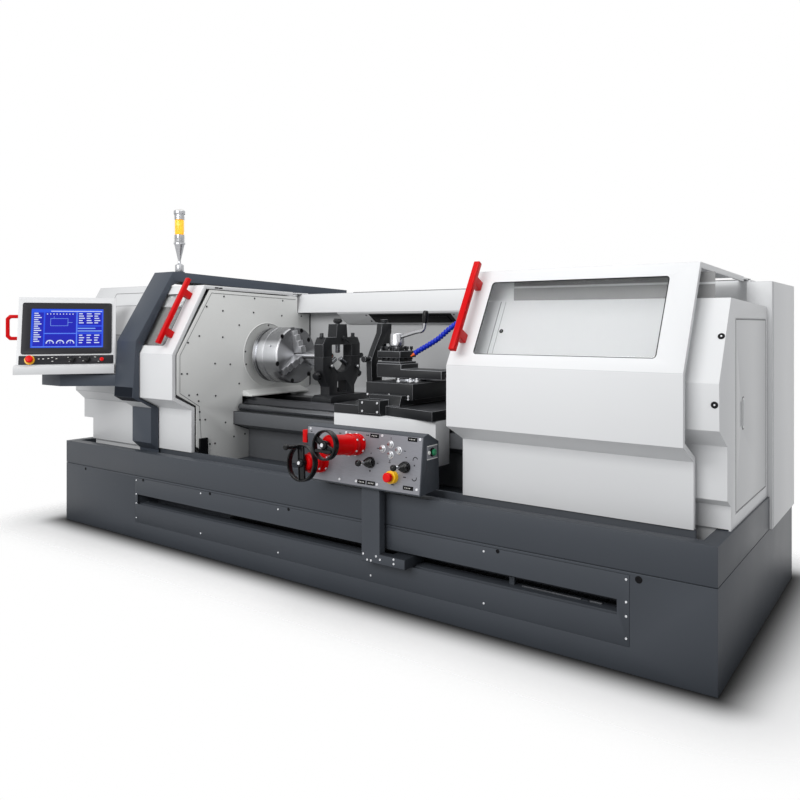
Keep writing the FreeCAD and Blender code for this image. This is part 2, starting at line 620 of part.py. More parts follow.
arch_front = corners("arch", "toe", "shin", "knee", "belly", "brow", "crown")
arch_line = ([(S.arch_toe_depth, S.tray_floor)] + arch_front + corners("arch", "rear")
             + [(S.arch_rear_depth, S.tray_top)])
arch_skin = strip("arch_skin", arch_line, S.sheet, S.arch_end - S.arch_start, (S.arch_start, 0, 0))
roof_slope = (S.arch_crown_height - S.arch_rear_height) / (S.arch_rear_depth - S.arch_crown_depth)
roof_front = (S.arch_crown_depth + 44, S.arch_crown_height - 44 * roof_slope)
roof_under = (S.arch_crown_depth + 44, S.arch_crown_height - S.roof_thickness - 44 * roof_slope)
door_edge = shifted(corners("door", "crown"), -S.door_gap, 0.5 * S.door_gap)
door_edge += shifted(corners("door", "brow"), -S.door_gap, 0.3 * S.door_gap)
door_edge += shifted(corners("door", "belly", "hip"), -S.door_gap, -0.5 * S.door_gap)
door_edge += [(S.door_hip_depth - S.door_gap, S.arch_shin_height)]
cover_edge = shifted(corners("cover", "crown", "brow", "belly", "knee"), 5, 0)
cover_edge += [(S.cover_shin_depth + 5, S.arch_shin_height)]
right_flange = prism("arch_right_flange", arch_front + [roof_front, roof_under] + door_edge, S.sheet,
                     (S.arch_end - S.sheet, 0, 0))
left_flange = prism("arch_left_flange", arch_front + [roof_front, roof_under] + cover_edge, S.sheet,
                    (S.arch_start, 0, 0))
roof_band = prism("roof_band", corners("arch", "crown", "rear")
                  + shifted(corners("arch", "rear", "crown"), 0, -S.roof_thickness),
                  S.arch_roof_end - S.arch_start, (S.arch_start, 0, 0))
roof_plan = prism("roof_plan", [(S.arch_start, S.arch_back_start - 20), (S.arch_end, S.arch_back_start - 20),
                                (S.arch_end, S.arch_back_start), (S.arch_roof_end, S.arch_rear_depth),
                                (S.arch_start, S.arch_rear_depth)],
                  S.arch_crown_height - S.tray_top, (0, 0, S.tray_top + 100), UPRIGHT)
roof = DOC.addObject("Part::MultiCommon", "roof_slab")
roof.Shapes = [roof_band, roof_plan]
rear_leg = box("arch_rear_leg", (S.arch_start, S.arch_rear_depth - S.sheet, S.tray_top),
               (S.arch_roof_end, S.arch_rear_depth, S.arch_rear_height - 20))
boss = rod("beacon_boss", S.boss_radius, 40, (S.boss_station, S.boss_depth, S.boss_top - 40))
node(fuse("arch_frame", arch_skin, right_flange, left_flange, roof, rear_leg, boss))

gap = S.bed_clearance
bed_notch = ([(S.bed_rear_depth + gap, S.tray_top), (S.bed_rear_depth + gap, shoe_high),
              (S.bed_way_depth - gap, shoe_high)]
             + [(S.bed_way_depth - gap, S.bed_band_height + gap), (S.bed_band_depth - gap, S.bed_band_height + gap),
                (S.bed_lip_depth - gap, S.bed_lip_height - gap), (S.bed_web_depth - gap, S.bed_web_height - gap),
                (S.bed_web_depth - gap, S.tray_floor)])
wall_line = ([(S.wall_toe_depth, S.tray_floor)] + corners("wall")
             + [(S.wall_edge_back, S.beam_sill_height - 4), (S.back_sheet_depth - 2, S.beam_sill_height - 4),
                (S.back_sheet_depth - 2, S.tray_top)] + bed_notch)
wall = prism("wall_plate", wall_line, S.wall_thickness, (S.housing_end, 0, 0), holes=[SPINDLE + (S.wall_hole_radius,)])
wall_face = S.housing_end + S.wall_thickness
ring = turned("wall_ring", [(S.ring_radius - S.ring_width, -1), (S.ring_radius, -1),
                            (S.ring_radius - 1, S.ring_height), (S.ring_radius - S.ring_width + 1, S.ring_height)],
              (wall_face,) + SPINDLE, towards(1, 0, 0))
wedge = prism("wall_wedge", [(wall_face - 1, S.wedge_floor), (wall_face + S.wedge_length, S.wedge_floor),
                             (wall_face + S.wedge_length, S.wedge_edge), (wall_face - 1, S.wedge_top)],
              S.wedge_back - S.wedge_front, (0, S.wedge_back, 0), ALONG_FRONT)
node(fuse("chuck_wall", wall, ring, wedge))

beam_line = corners("beam") + [(S.beam_back, S.beam_edge_height), (S.beam_back, S.beam_sill_height)]
node(prism("rear_beam", beam_line, S.beam_end - S.beam_start, (S.beam_start, 0, 0)))

slide_foot = [(S.slide_front, S.slide_low), (S.slide_front, S.slide_low - 25), (S.tray_back + 6, S.slide_low - 25),
              (S.tray_back + 6, S.tray_top), (S.beam_back - S.panel_sheet, S.tray_top),
              (S.beam_back - S.panel_sheet, S.beam_sill_height)]
plain_panel = prism("plain_panel", [(S.back_sheet_depth + 6, S.beam_sill_height), (S.back_sheet_depth + 6, S.slide_high)]
                    + slide_foot, S.panel_break - S.panel_start, (S.panel_start, 0, 0))
lamp_line = [(S.beam_sill_depth + 3, S.beam_sill_height), (S.beam_sill_depth + 3, S.lamp_high),
             (S.lamp_back, S.lamp_low), (S.back_sheet_depth, S.lamp_low), (S.back_sheet_depth, S.slide_high)]
lamp_panel = prism("lamp_panel", lamp_line + slide_foot, S.beam_end - 4 - S.panel_break, (S.panel_break, 0, 0))
lamp_run = S.lamp_back - S.beam_sill_depth - 3
lamp_fall = S.lamp_high - S.lamp_low
lamp_tilt = math.atan2(lamp_fall.value, lamp_run.value)
lamp_turn = turn((1, 0, 0), (0, math.cos(lamp_tilt), -math.sin(lamp_tilt)),
                 (0, math.sin(lamp_tilt), math.cos(lamp_tilt)))
lamp = pane("work_lamp", S.lamp_end - S.lamp_start, S.lamp_width, 5, S.lamp_thickness + 2,
            ((S.lamp_start + S.lamp_end) / 2,
             S.beam_sill_depth + 3 + lamp_run / 2 - S.lamp_thickness * math.sin(lamp_tilt),
             S.lamp_low + lamp_fall / 2 - S.lamp_thickness * math.cos(lamp_tilt)), lamp_turn)
node(fuse("back_panel", plain_panel, lamp_panel, lamp))

# ---- right guard and rear cabinet ---------------------------------------------------------

guard_foot = [(S.guard_shin_depth + 18, S.tray_floor), (S.guard_shin_depth + 18, S.tray_top + 5),
              (S.guard_shin_depth, S.tray_top + 5)]
guard_side = corners("guard")
guard_skin = strip("guard_skin", guard_foot + guard_side, S.sheet,
                   S.guard_end - 2 * S.sheet - S.guard_start, (S.guard_start, 0, 0))
rim_relief = box("guard_rim_relief", (S.base_length - S.rim_width - S.slide_gap, S.guard_shin_depth - 1, S.tray_floor - 1),
                 (S.guard_end + 1, S.guard_shin_depth + 60, S.tray_top))
guard_skin = cut("guard_foot_cut", guard_skin, rim_relief)
guard_flange = strip("guard_flange", guard_side, S.guard_flange, S.sheet, (S.guard_start, 0, 0))
end_plate = prism("guard_plate", [(S.guard_shin_depth, S.tray_top)] + guard_side + [(S.guard_rear_depth, S.tray_top)],
                  2 * S.sheet, (S.guard_end - 2 * S.sheet, 0, 0))
slack = S.side_door_gap
lap = S.side_door_lap
rabbet = box("side_rabbet", (S.guard_end - S.sheet - S.slide_gap, S.side_door_front - slack, S.side_door_floor - slack),
             (S.guard_end + 1, S.side_door_back + slack, S.side_door_roof + slack))
doorway = box("side_doorway", (S.guard_end - 2 * S.sheet - 1, S.side_door_front + lap, S.side_door_floor + lap),
              (S.guard_end + 1, S.side_door_back - lap, S.side_door_roof - lap))
node(fuse("right_guard", guard_skin, guard_flange, cut("guard_end", end_plate, rabbet, doorway)))

side_sheet = box("side_sheet", (S.guard_end - S.sheet, S.side_door_front, S.side_door_floor),
                 (S.guard_end, S.side_door_back, S.side_door_roof))
grip_slot = pane("side_grip", S.side_grip_width, S.side_grip_height, S.side_grip_width / 2 - 0.5, S.sheet,
                 (S.guard_end - S.sheet / 2, S.side_door_front + 83, S.side_grip_floor + S.side_grip_height / 2),
                 ALONG_X)
node(cut("side_door", side_sheet, grip_slot))

cabinet_plan = [(S.cabinet_start, S.cabinet_front), (S.cabinet_nose_start, S.cabinet_front),
                (S.cabinet_nose_start, S.cabinet_nose_front), (S.cabinet_end, S.cabinet_nose_front),
                (S.cabinet_end, S.cabinet_back), (S.cabinet_start, S.cabinet_back)]
cabinet = prism("cabinet_block", cabinet_plan, S.cabinet_top - S.base_height, (0, 0, S.base_height), UPRIGHT)
thick = S.cabinet_door_thickness
back_recess = box("back_recess", (S.cabinet_door_start - slack, S.cabinet_back - thick - S.slide_gap,
                                  S.cabinet_door_floor - slack),
                  (S.cabinet_door_end + slack, S.cabinet_back + 1, S.cabinet_door_roof + slack))
inside = box("cabinet_inside", (S.cabinet_door_start + lap, S.cabinet_front + S.cabinet_wall, S.cabinet_door_floor + lap),
             (S.cabinet_door_end - lap, S.cabinet_back + 1, S.cabinet_door_roof - lap))
grooves = [box(f"cabinet_groove_{index}", (S.cabinet_end - S.groove_depth, S.cabinet_nose_front + place_at, S.base_height - 1),
               (S.cabinet_end + 1, S.cabinet_nose_front + place_at + S.groove_width, S.cabinet_top + 1))
           for index, place_at in enumerate((S.groove_first, S.groove_second))]
node(cut("rear_cabinet", cabinet, back_recess, inside, *grooves))
node(box("cabinet_door", (S.cabinet_door_start, S.cabinet_back - thick, S.cabinet_door_floor),
         (S.cabinet_door_end, S.cabinet_back, S.cabinet_door_roof)))

# ---- sliding doors ------------------------------------------------------------------------

door_side = corners("door")
door_line = [(S.door_sill_depth + S.door_flange, S.door_sill_height)] + door_side
slope_run = S.door_crown_depth - S.door_brow_depth
slope_rise = S.door_crown_height - S.door_brow_height
slope_length = root(slope_run * slope_run + slope_rise * slope_rise)
lean = slope_run / slope_length
climb = slope_rise / slope_length


def on_slope(along, proud):
    return (S.door_brow_depth + along * lean - proud * climb, S.door_brow_height + along * climb + proud * lean)


def sliding_door(label, start, end, window_start, window_end, grip_station):
    skin = strip(label + "_skin", door_line, S.sheet, end - start, (start, 0, 0))
    flanges = [strip(f"{label}_{side}", door_side, S.door_flange, S.sheet, (station, 0, 0))
               for side, station in (("start", start), ("end", end - S.sheet))]
    arms = [box(f"{label}_{side}_arm", (station, S.arm_front, S.beam_edge_height + S.slide_gap),
                (station + S.arm_width, S.arm_back, S.door_rear_height - 3))
            for side, station in (("left", start), ("right", end - S.arm_width))]
    cutter = pane(label + "_opening", window_end - window_start, S.window_roof - S.window_floor, S.window_radius,
                  S.door_crown_depth - S.door_brow_depth + 60,
                  ((window_start + window_end) / 2, S.door_crown_depth + 20,
                   (S.window_floor + S.window_roof) / 2), ALONG_FRONT)
    node(cut(label, fuse(label + "_shell", skin, *flanges, *arms), cutter))
    low = (S.window_floor - S.door_brow_height) / climb - S.window_lap
    high = (S.window_roof - S.door_brow_height) / climb + S.window_lap
    face = -S.sheet
    node(prism(label.replace("door", "window"),
               [on_slope(low, face), on_slope(low, face - S.glass), on_slope(high, face - S.glass),
                on_slope(high, face)], window_end - window_start + 2 * S.window_lap,
               (window_start - S.window_lap, 0, 0)))
    inner = S.grip_stand - S.grip_thickness
    half = S.bracket_length / 2
    profile = [(S.bracket_low - half, ZERO), (S.bracket_low + half, ZERO), (S.bracket_low + half, inner),
               (S.bracket_high - half, inner), (S.bracket_high - half, ZERO), (S.bracket_high + half, ZERO),
               (S.bracket_high + half, inner), (S.grip_to, inner), (S.grip_to, S.grip_stand),
               (S.grip_from, S.grip_stand), (S.grip_from, inner), (S.bracket_low - half, inner)]
    node(prism(label + "_handle", [on_slope(*point) for point in profile], S.grip_width, (grip_station, 0, 0)))


sliding_door("left_door", S.left_door_start, S.left_door_end, S.left_window_start, S.left_window_end,
             S.left_grip_station)
sliding_door("right_door", S.right_door_start, S.right_door_end, S.right_window_start, S.right_window_end,
             S.right_grip_station)

# ---- beacon and operator panel ------------------------------------------------------------

node(turned("beacon", [(ZERO, ZERO), (S.beacon_foot, ZERO), (S.beacon_foot, S.beacon_neck_at - 10),
                       (S.beacon_neck, S.beacon_neck_at), (S.beacon_neck, S.beacon_neck_at + 20),
                       (S.beacon_lamp - 2, S.beacon_lamp_at), (S.beacon_lamp, S.beacon_lamp_at + 3),
                       (S.beacon_lamp, S.beacon_height - 8), (S.beacon_lamp - 8, S.beacon_height),
                       (ZERO, S.beacon_height)], (S.boss_station, S.boss_depth, S.boss_top)))

PANEL_TURN = math.radians(55.3)
PANEL_TILT = math.radians(17.9)
ACROSS = (math.cos(PANEL_TURN), math.sin(PANEL_TURN))
OUT = (math.sin(PANEL_TURN), -math.cos(PANEL_TURN))
LEAN = (math.cos(PANEL_TILT), math.sin(PANEL_TILT))
panel_side = turn((OUT[0], OUT[1], 0), (0, 0, 1), (-ACROSS[0], -ACROSS[1], 0))
panel_face = turn((ACROSS[0], ACROSS[1], 0), (-OUT[0] * LEAN[1], -OUT[1] * LEAN[1], LEAN[0]),
                  (OUT[0] * LEAN[0], OUT[1] * LEAN[0], LEAN[1]))
panel_flat = turn((ACROSS[0], ACROSS[1], 0), (0, 0, 1), (OUT[0], OUT[1], 0))


def panel_spot(across, up, out):
    level = LEAN[0] * out - LEAN[1] * up
    return (S.panel_station + ACROSS[0] * across + OUT[0] * level,
            S.panel_depth + ACROSS[1] * across + OUT[1] * level,
            S.panel_height + LEAN[0] * up + LEAN[1] * out)


def panel_level(across, out, height):
    return (S.panel_station + ACROSS[0] * across + OUT[0] * out,
            S.panel_depth + ACROSS[1] * across + OUT[1] * out, height)


arm_plan = [(S.arch_start, S.arm_end_front), (S.arch_start, S.arm_end_back), (S.arm_knee_station, S.arm_elbow_depth),
            (S.arm_tip_station, S.arm_elbow_depth), (S.arm_tip_station, S.arm_knee_depth),
            (S.arm_knee_station, S.arm_knee_depth)]
arm_beam = prism("arm_beam", arm_plan, S.arm_top - S.arm_floor, (0, 0, S.arm_floor), UPRIGHT)
hub = rod("arm_hub", S.hub_radius, S.hub_height + 2, (S.swivel_station, S.swivel_depth, S.arm_top - 2))
node(fuse("panel_arm", arm_beam, hub))

tangent = LEAN[1] / LEAN[0]
housing_floor = S.arm_top + S.hub_height + S.slide_gap
housing_side = [(-S.housing_depth, housing_floor), (S.ledge_inner, housing_floor), (S.ledge_inner, S.ledge_roof),
                ((S.panel_height - S.ledge_roof - 8) * tangent, S.ledge_roof + 8),
                ((S.panel_height - S.housing_roof) * tangent, S.housing_roof),
                (-S.crest_back, S.housing_roof), (-S.housing_depth, S.ledge_roof + 100)]
housing_body = prism("panel_body", housing_side, S.housing_width, panel_level(S.housing_width / 2, 0, ZERO), panel_side)
ledge = prism("panel_ledge", [(-S.housing_depth + 20, housing_floor), (S.ledge_reach, housing_floor),
                              (S.ledge_reach, S.ledge_roof - 4), (S.ledge_inner - 2, S.ledge_roof + 6),
                              (-S.housing_depth + 20, S.ledge_roof + 6)],
              S.ledge_width,
              panel_level(S.ledge_width / 2 - S.ledge_shift, 0, ZERO), panel_side)
bezel = pane("panel_bezel", S.bezel_width, S.bezel_height, S.bezel_radius, S.bezel_thickness + 2,
             panel_spot(0, 0, ZERO - 2), panel_face)
keys = pane("panel_strip", S.strip_width, S.strip_height, 4, 4, panel_spot(0, -S.strip_down, ZERO - 2), panel_face)
screen = pane("panel_screen", S.screen_width, S.screen_height, 4, S.screen_recess + 1,
              panel_spot(0, 0, S.bezel_thickness - S.screen_recess), panel_face)
red_key = rod("panel_red_key", S.panel_red_radius, 10, panel_spot(S.panel_red_at, -S.strip_down, ZERO), panel_face)
collar = rod("panel_stop_collar", S.stop_collar, 8, panel_spot(S.panel_stop_at, -S.strip_down, ZERO), panel_face)
stem_bore = rod("panel_stop_bore", S.stem_radius + 0.5, 34, panel_spot(S.panel_stop_at, -S.strip_down, ZERO - 24),
                panel_face)
knob_bores = [rod(f"panel_knob_bore_{index}", S.stem_radius + 0.5, 20, panel_spot(across, -S.strip_down, ZERO - 12),
                  panel_face) for index, across in enumerate((S.panel_knob_a, S.panel_knob_b))]
housing_raw = fuse("panel_raw", housing_body, ledge, bezel, keys, red_key, collar)
node(cut("panel_housing", housing_raw, screen, stem_bore, *knob_bores))

side_at = -S.housing_width / 2
bar = S.handle_bar
reach = side_at - S.handle_reach
node(prism("panel_handle", [(side_at, S.handle_floor), (reach + bar, S.handle_floor), (reach, S.handle_floor + bar),
                            (reach, S.handle_roof - bar), (reach + bar, S.handle_roof), (side_at, S.handle_roof),
                            (side_at, S.handle_roof - bar), (reach + 1.4 * bar, S.handle_roof - bar),
                            (reach + bar, S.handle_roof - 1.4 * bar), (reach + bar, S.handle_floor + 1.4 * bar),
                            (reach + 1.4 * bar, S.handle_floor + bar), (side_at, S.handle_floor + bar)],
           bar, panel_level(ZERO, -S.handle_back, ZERO), panel_flat))


def button(label, stem_from, rise, radius, height, origin, rotation):
    return node(turned(label, [(ZERO, stem_from), (S.stem_radius, stem_from), (S.stem_radius, rise),
                               (radius - 2, rise), (radius, rise + 3), (radius, height - 4), (radius - 5, height),
                               (ZERO, height)], origin, rotation))


button("panel_stop", ZERO - 14, S.stop_rise, S.stop_radius, S.stop_rise + 22,
       panel_spot(S.panel_stop_at, -S.strip_down, ZERO), panel_face)
for label, across in (("panel_knob_left", S.panel_knob_a), ("panel_knob_right", S.panel_knob_b)):
    button(label, ZERO - 10, 2 + S.slide_gap, S.panel_knob_radius, S.panel_knob_height,
           panel_spot(across, -S.strip_down, ZERO), panel_face)

# ---- spindle, chuck and bar ---------------------------------------------------------------

ALONG_BAR = towards(1, 0, 0)
node(turned("spindle", [(ZERO, ZERO), (S.spindle_radius, ZERO), (S.spindle_radius, S.nose_start - S.spindle_start),
                        (S.nose_radius, S.nose_start - S.spindle_start), (S.nose_radius, S.chuck_back - S.spindle_start),
                        (ZERO, S.chuck_back - S.spindle_start)], (S.spindle_start,) + SPINDLE, ALONG_BAR))
deep = S.chuck_face - S.chuck_back
rim = S.chuck_radius
chuck = turned("chuck_turned", [(ZERO, ZERO), (rim - 16, ZERO), (rim - 16, S.rim_step), (rim - 7, S.rim_step),
                                (rim - 7, 2 * S.rim_step), (rim, 2 * S.rim_step + 6), (rim, deep * 0.36),
                                (rim - 3, deep * 0.36 + 2), (rim - 3, deep * 0.36 + 8), (rim, deep * 0.36 + 10),
                                (rim, deep - 7), (rim - 6, deep), (S.chuck_bore, deep), (S.chuck_bore, deep - S.bore_depth),
                                (ZERO, deep - S.bore_depth)], (S.chuck_back,) + SPINDLE, ALONG_BAR)
JAW_ANGLES = (100, 220, 340)
sockets = []
slots = []
for index, degrees in enumerate(JAW_ANGLES):
    angle = math.radians(degrees)
    jaw_turn = turn((1, 0, 0), (0, math.cos(angle), math.sin(angle)), (0, -math.sin(angle), math.cos(angle)))

    def beside(width):
        return (S.chuck_face, S.spindle_depth + width * (math.sin(angle) / 2),
                S.spindle_height - width * (math.cos(angle) / 2))

    slot_width = S.jaw_width + 2 * S.jaw_clearance
    floor = -S.jaw_depth
    slots.append(prism(f"jaw_slot_{index}", [(floor, ZERO), (ZERO + 5, ZERO), (ZERO + 5, rim + 5), (floor, rim + 5)],
                       slot_width, beside(slot_width), jaw_turn))
    step = S.jaw_step
    top = S.jaw_reach
    base = floor + S.jaw_clearance
    node(prism(f"jaw_{index + 1}", [(base, S.bar_radius), (top, S.bar_radius), (top, S.jaw_step_inner),
                                    (top - step, S.jaw_step_inner), (top - step, S.jaw_step_middle),
                                    (top - 2 * step, S.jaw_step_middle), (top - 2 * step, S.jaw_step_outer),
                                    (top - 3 * step, S.jaw_step_outer), (top - 3 * step, S.jaw_end),
                                    (base, S.jaw_end)], S.jaw_width, beside(S.jaw_width), jaw_turn))
    sockets.append(rod(f"key_socket_{index}", S.key_radius, 30,
                       (S.chuck_face - S.key_back, S.spindle_depth + (rim - 24) * math.cos(angle + 1.05),
                        S.spindle_height + (rim - 24) * math.sin(angle + 1.05)),
                       towards(0, math.cos(angle + 1.05), math.sin(angle + 1.05))))
node(cut("chuck_body", chuck, *slots, *sockets))
bar_start = S.chuck_face - S.bore_depth
node(rod("work_bar", S.bar_radius, S.bar_end - bar_start, (bar_start,) + SPINDLE, ALONG_BAR))

# ---- steady rest --------------------------------------------------------------------------

AXIS = S.spindle_depth
half = S.steady_half
high = S.split_height
shoe = S.bed_flat_height + S.slide_gap
foot_line = [(shoe_front, shoe), (S.bed_rear_depth - 5, shoe), (S.bed_rear_depth - 5, S.steady_foot_top - 14),
             (S.bed_rear_depth - 25, S.steady_foot_top), (shoe_front + 20, S.steady_foot_top),
             (shoe_front, S.steady_foot_top - 14)]
foot = prism("steady_foot", foot_line, S.steady_foot_end - S.steady_foot_start, (S.steady_foot_start, 0, 0))
waist = half * 0.68
frame_line = [(AXIS - waist, S.steady_foot_top - 10), (AXIS - waist, S.steady_foot_top + 50),
              (AXIS - half * 0.86, S.steady_foot_top + 90), (AXIS - half, high - 78), (AXIS - half, high),
              (AXIS + half, high), (AXIS + half, high - 78), (AXIS + half * 0.86, S.steady_foot_top + 90),
              (AXIS + waist, S.steady_foot_top + 50), (AXIS + waist, S.steady_foot_top - 10)]
frame = prism("steady_frame", frame_line, S.steady_thickness, (S.steady_start, 0, 0))
throat = rod("steady_throat", S.steady_ring, S.steady_thickness + 2, (S.steady_start - 1,) + SPINDLE, ALONG_BAR)
arch_hole = pane("steady_arch", S.steady_arch_width, S.steady_arch_height, 8, S.steady_thickness + 2,
                 (S.steady_start - 1, AXIS, S.steady_foot_top + 14 + S.steady_arch_height / 2), ALONG_X)
middle = S.steady_start + S.steady_thickness / 2
FINGERS = (("steady_finger_1", 90), ("steady_finger_2", 210), ("steady_finger_3", 330))
bores = []
for label, degrees in FINGERS:
    aim = (math.cos(math.radians(degrees)), math.sin(math.radians(degrees)))
    rotation = towards(0, *aim)
    begin = (middle, AXIS + S.finger_tip * aim[0], S.spindle_height + S.finger_tip * aim[1])
    bores.append(rod(label + "_bore", S.finger_radius + S.finger_clearance, S.finger_length, begin, rotation))
    node(turned(label, [(ZERO, ZERO), (S.finger_radius - 4, ZERO), (S.finger_radius, ZERO + 4),
                        (S.finger_radius, S.finger_length), (S.finger_knob, S.finger_length),
                        (S.finger_knob, S.finger_length + S.finger_knob_height),
                        (ZERO, S.finger_length + S.finger_knob_height)], begin, rotation))
cheek = S.steady_thickness * 0.3
lug_in = S.hinge_depth - 22
lower_lugs = []
for side, station in (("left", S.steady_start), ("right", S.steady_start + S.steady_thickness - cheek)):
    lower_lugs.append(rod(f"lug_{side}", S.hinge_lug, cheek, (station, S.hinge_depth, high), ALONG_BAR))
    lower_lugs.append(box(f"lug_{side}_root", (station, lug_in, high - S.hinge_lug),
                          (station + cheek, S.hinge_depth, high)))
pin = rod("hinge_pin", S.hinge_radius, S.steady_thickness, (S.steady_start, S.hinge_depth, high), ALONG_BAR)
lower = cut("steady_lower", fuse("steady_solid", foot, frame), throat, arch_hole, bores[1], bores[2])
node(fuse("steady_base", lower, *lower_lugs, pin))

cap_floor = high + S.cap_gap
tower = S.tower_half
cap_line = [(AXIS - half, cap_floor), (AXIS - half, S.cap_top - 40), (AXIS - half + 22, S.cap_top),
            (AXIS - tower - 8, S.cap_top), (AXIS - tower, S.tower_top), (AXIS + tower, S.tower_top),
            (AXIS + tower + 8, S.cap_top), (AXIS + half - 22, S.cap_top), (AXIS + half, S.cap_top - 40),
            (AXIS + half, cap_floor)]
cap = prism("cap_frame", cap_line, S.steady_thickness, (S.steady_start, 0, 0))
gate = box("cap_gate", (S.steady_start - 1, AXIS - S.steady_ring, high - 1),
           (S.steady_start + S.steady_thickness + 1, AXIS + S.steady_ring, S.gate_top))
cap_lug = rod("cap_lug", S.hinge_lug, cheek, (middle - cheek / 2, S.hinge_depth, high), ALONG_BAR)
cap_root = box("cap_lug_root", (middle - cheek / 2, lug_in, cap_floor),
               (middle + cheek / 2, S.hinge_depth, high + S.hinge_lug))
cap_bore = rod("cap_bore", S.hinge_radius + S.finger_clearance, S.steady_thickness + 2,
               (S.steady_start - 1, S.hinge_depth, high), ALONG_BAR)
node(cut("steady_cap", fuse("cap_solid", cut("cap_open", cap, gate, bores[0]), cap_lug, cap_root), cap_bore))

# ---- saddle and slides --------------------------------------------------------------------

saddle_plan = [(S.saddle_start, S.saddle_front), (S.plate_left, S.saddle_front), (S.plate_right, S.saddle_front),
               (S.plate_right, S.saddle_front + 45), (S.saddle_end, S.saddle_front - 32), (S.saddle_end, S.bed_rear_depth),
               (S.saddle_start, S.bed_rear_depth)]
saddle_slab = prism("saddle_slab", saddle_plan, S.saddle_top - shoe, (0, 0, shoe), UPRIGHT)
way_groove = box("saddle_groove", (S.saddle_start - 1, S.bed_way_depth - 4, shoe - 1),
                 (S.saddle_end + 1, shoe_front, S.bed_crest_height + S.slide_gap))
undercut = S.dovetail_undercut
dovetail = prism("saddle_dovetail", [(S.dovetail_start + undercut, S.saddle_top - 1), (S.dovetail_start, S.dovetail_top),
                                     (S.dovetail_end, S.dovetail_top), (S.dovetail_end - undercut, S.saddle_top - 1)],
                 S.bed_rear_depth - S.dovetail_front, (0, S.bed_rear_depth, 0), ALONG_FRONT)
front_plate = box("saddle_plate", (S.plate_left, S.saddle_front - 8, S.saddle_top - 36),
                  (S.plate_right, S.dovetail_front + 30, S.plate_top))
nut = box("ball_nut", (S.nut_start, S.nut_front, S.nut_floor), (S.nut_end, S.nut_back, shoe + 2))
nut_bore = rod("nut_bore", bore, S.nut_end - S.nut_start + 2, (S.nut_start - 1, S.screw_depth, S.screw_height), ALONG_BAR)
node(cut("saddle", fuse("saddle_solid", saddle_slab, dovetail, front_plate, nut), way_groove, nut_bore))

apron = box("apron_block", (S.saddle_start, S.apron_front, S.apron_floor), (S.saddle_end, S.apron_back, shoe))
apron_inside = box("apron_inside", (S.saddle_start + S.sheet, S.apron_front + S.sheet, S.apron_floor + S.sheet),
                   (S.saddle_end - S.sheet, S.apron_back + 1, shoe - S.sheet))
node(cut("apron_guard", apron, apron_inside))

play = S.dovetail_clearance
drop = S.dovetail_top - S.cross_floor
flare = undercut * (drop.value / (S.dovetail_top.value - S.saddle_top.value + 1))
cross_line = [(S.cross_start, S.cross_floor), (S.dovetail_start + flare - play, S.cross_floor),
              (S.dovetail_start - play, S.dovetail_top + S.slide_gap), (S.dovetail_end + play, S.dovetail_top + S.slide_gap),
              (S.dovetail_end - flare + play, S.cross_floor), (S.cross_end, S.cross_floor),
              (S.cross_end, S.cross_top), (S.cross_start, S.cross_top)]
cross_block = prism("cross_block", cross_line, S.cross_back - S.cross_front, (0, S.cross_back, 0), ALONG_FRONT)
dial = rod("swivel_dial", S.swivel_radius, S.swivel_height + 1, (S.swivel_at, S.swivel_in, S.cross_top - 1))
guide_floor = S.cross_top + S.swivel_height
guide_line = [(S.top_front + 44, guide_floor - 1), (S.top_front + 34, guide_floor + S.guide_height),
              (S.top_back - 34, guide_floor + S.guide_height), (S.top_back - 44, guide_floor - 1)]
guide_rail = prism("top_guide", guide_line, 2 * S.swivel_radius + 40, (S.swivel_at - S.swivel_radius - 20, 0, 0))
node(fuse("cross_slide", cross_block, dial, guide_rail))

ratio = (S.guide_height.value - S.top_lift.value) / (S.guide_height.value + 1)
top_floor = guide_floor + S.top_lift
top_line = [(S.top_front, top_floor), (S.top_front + 34 + 10 * ratio - play, top_floor),
            (S.top_front + 34 - play, guide_floor + S.guide_height + S.slide_gap),
            (S.top_back - 34 + play, guide_floor + S.guide_height + S.slide_gap),
            (S.top_back - 34 - 10 * ratio + play, top_floor), (S.top_back, top_floor), (S.top_back, S.top_top),
            (S.top_front, S.top_top)]
top_block = prism("top_block", top_line, S.top_end - S.top_start, (S.top_start, 0, 0))
rest_block = box("rest_block", (S.top_start, S.top_front, S.top_top - 1),
                 (S.rest_block_end, S.top_back, S.rest_block_top))
POST = (S.post_station, S.post_in)
stud = rod("post_stud", S.stud_radius, S.lever_cap_rise - S.rest_block_top, POST + (S.rest_block_top - 1,))
node(fuse("top_slide", top_block, rest_block, stud))


def square(label, width, floor, roof):
    return box(label, (S.post_station - width / 2, S.post_in - width / 2, floor),
               (S.post_station + width / 2, S.post_in + width / 2, roof))


post_floor = S.rest_block_top + S.slide_gap
post = fuse("post_solid", square("post_base", S.post_width, post_floor, post_floor + S.post_flange),
            square("post_middle", S.post_waist, post_floor + 1, S.post_waist_top + 1),
            square("post_head", S.post_width, S.post_waist_top, S.post_top))
stud_bore = rod("post_bore", S.stud_radius + 0.5, S.post_top - S.rest_block_top + 2, POST + (S.rest_block_top - 1,))
node(cut("tool_post", post, stud_bore))

cap_at = S.post_top + S.slide_gap
rise = S.lever_cap_rise - cap_at
lever_cap = turned("lever_cap", [(S.stud_radius + 0.5, ZERO), (S.lever_cap_radius - 8, ZERO), (S.lever_cap_radius - 8, rise - 5),
                                 (S.lever_cap_radius, rise), (S.lever_cap_radius, rise + 22),
                                 (S.lever_cap_top, S.lever_cap_height - cap_at - 5), (S.lever_cap_top - 5, S.lever_cap_height - cap_at),
                                 (ZERO, S.lever_cap_height - cap_at), (ZERO, rise + 2), (S.stud_radius + 0.5, rise + 2)],
                   POST + (cap_at,))


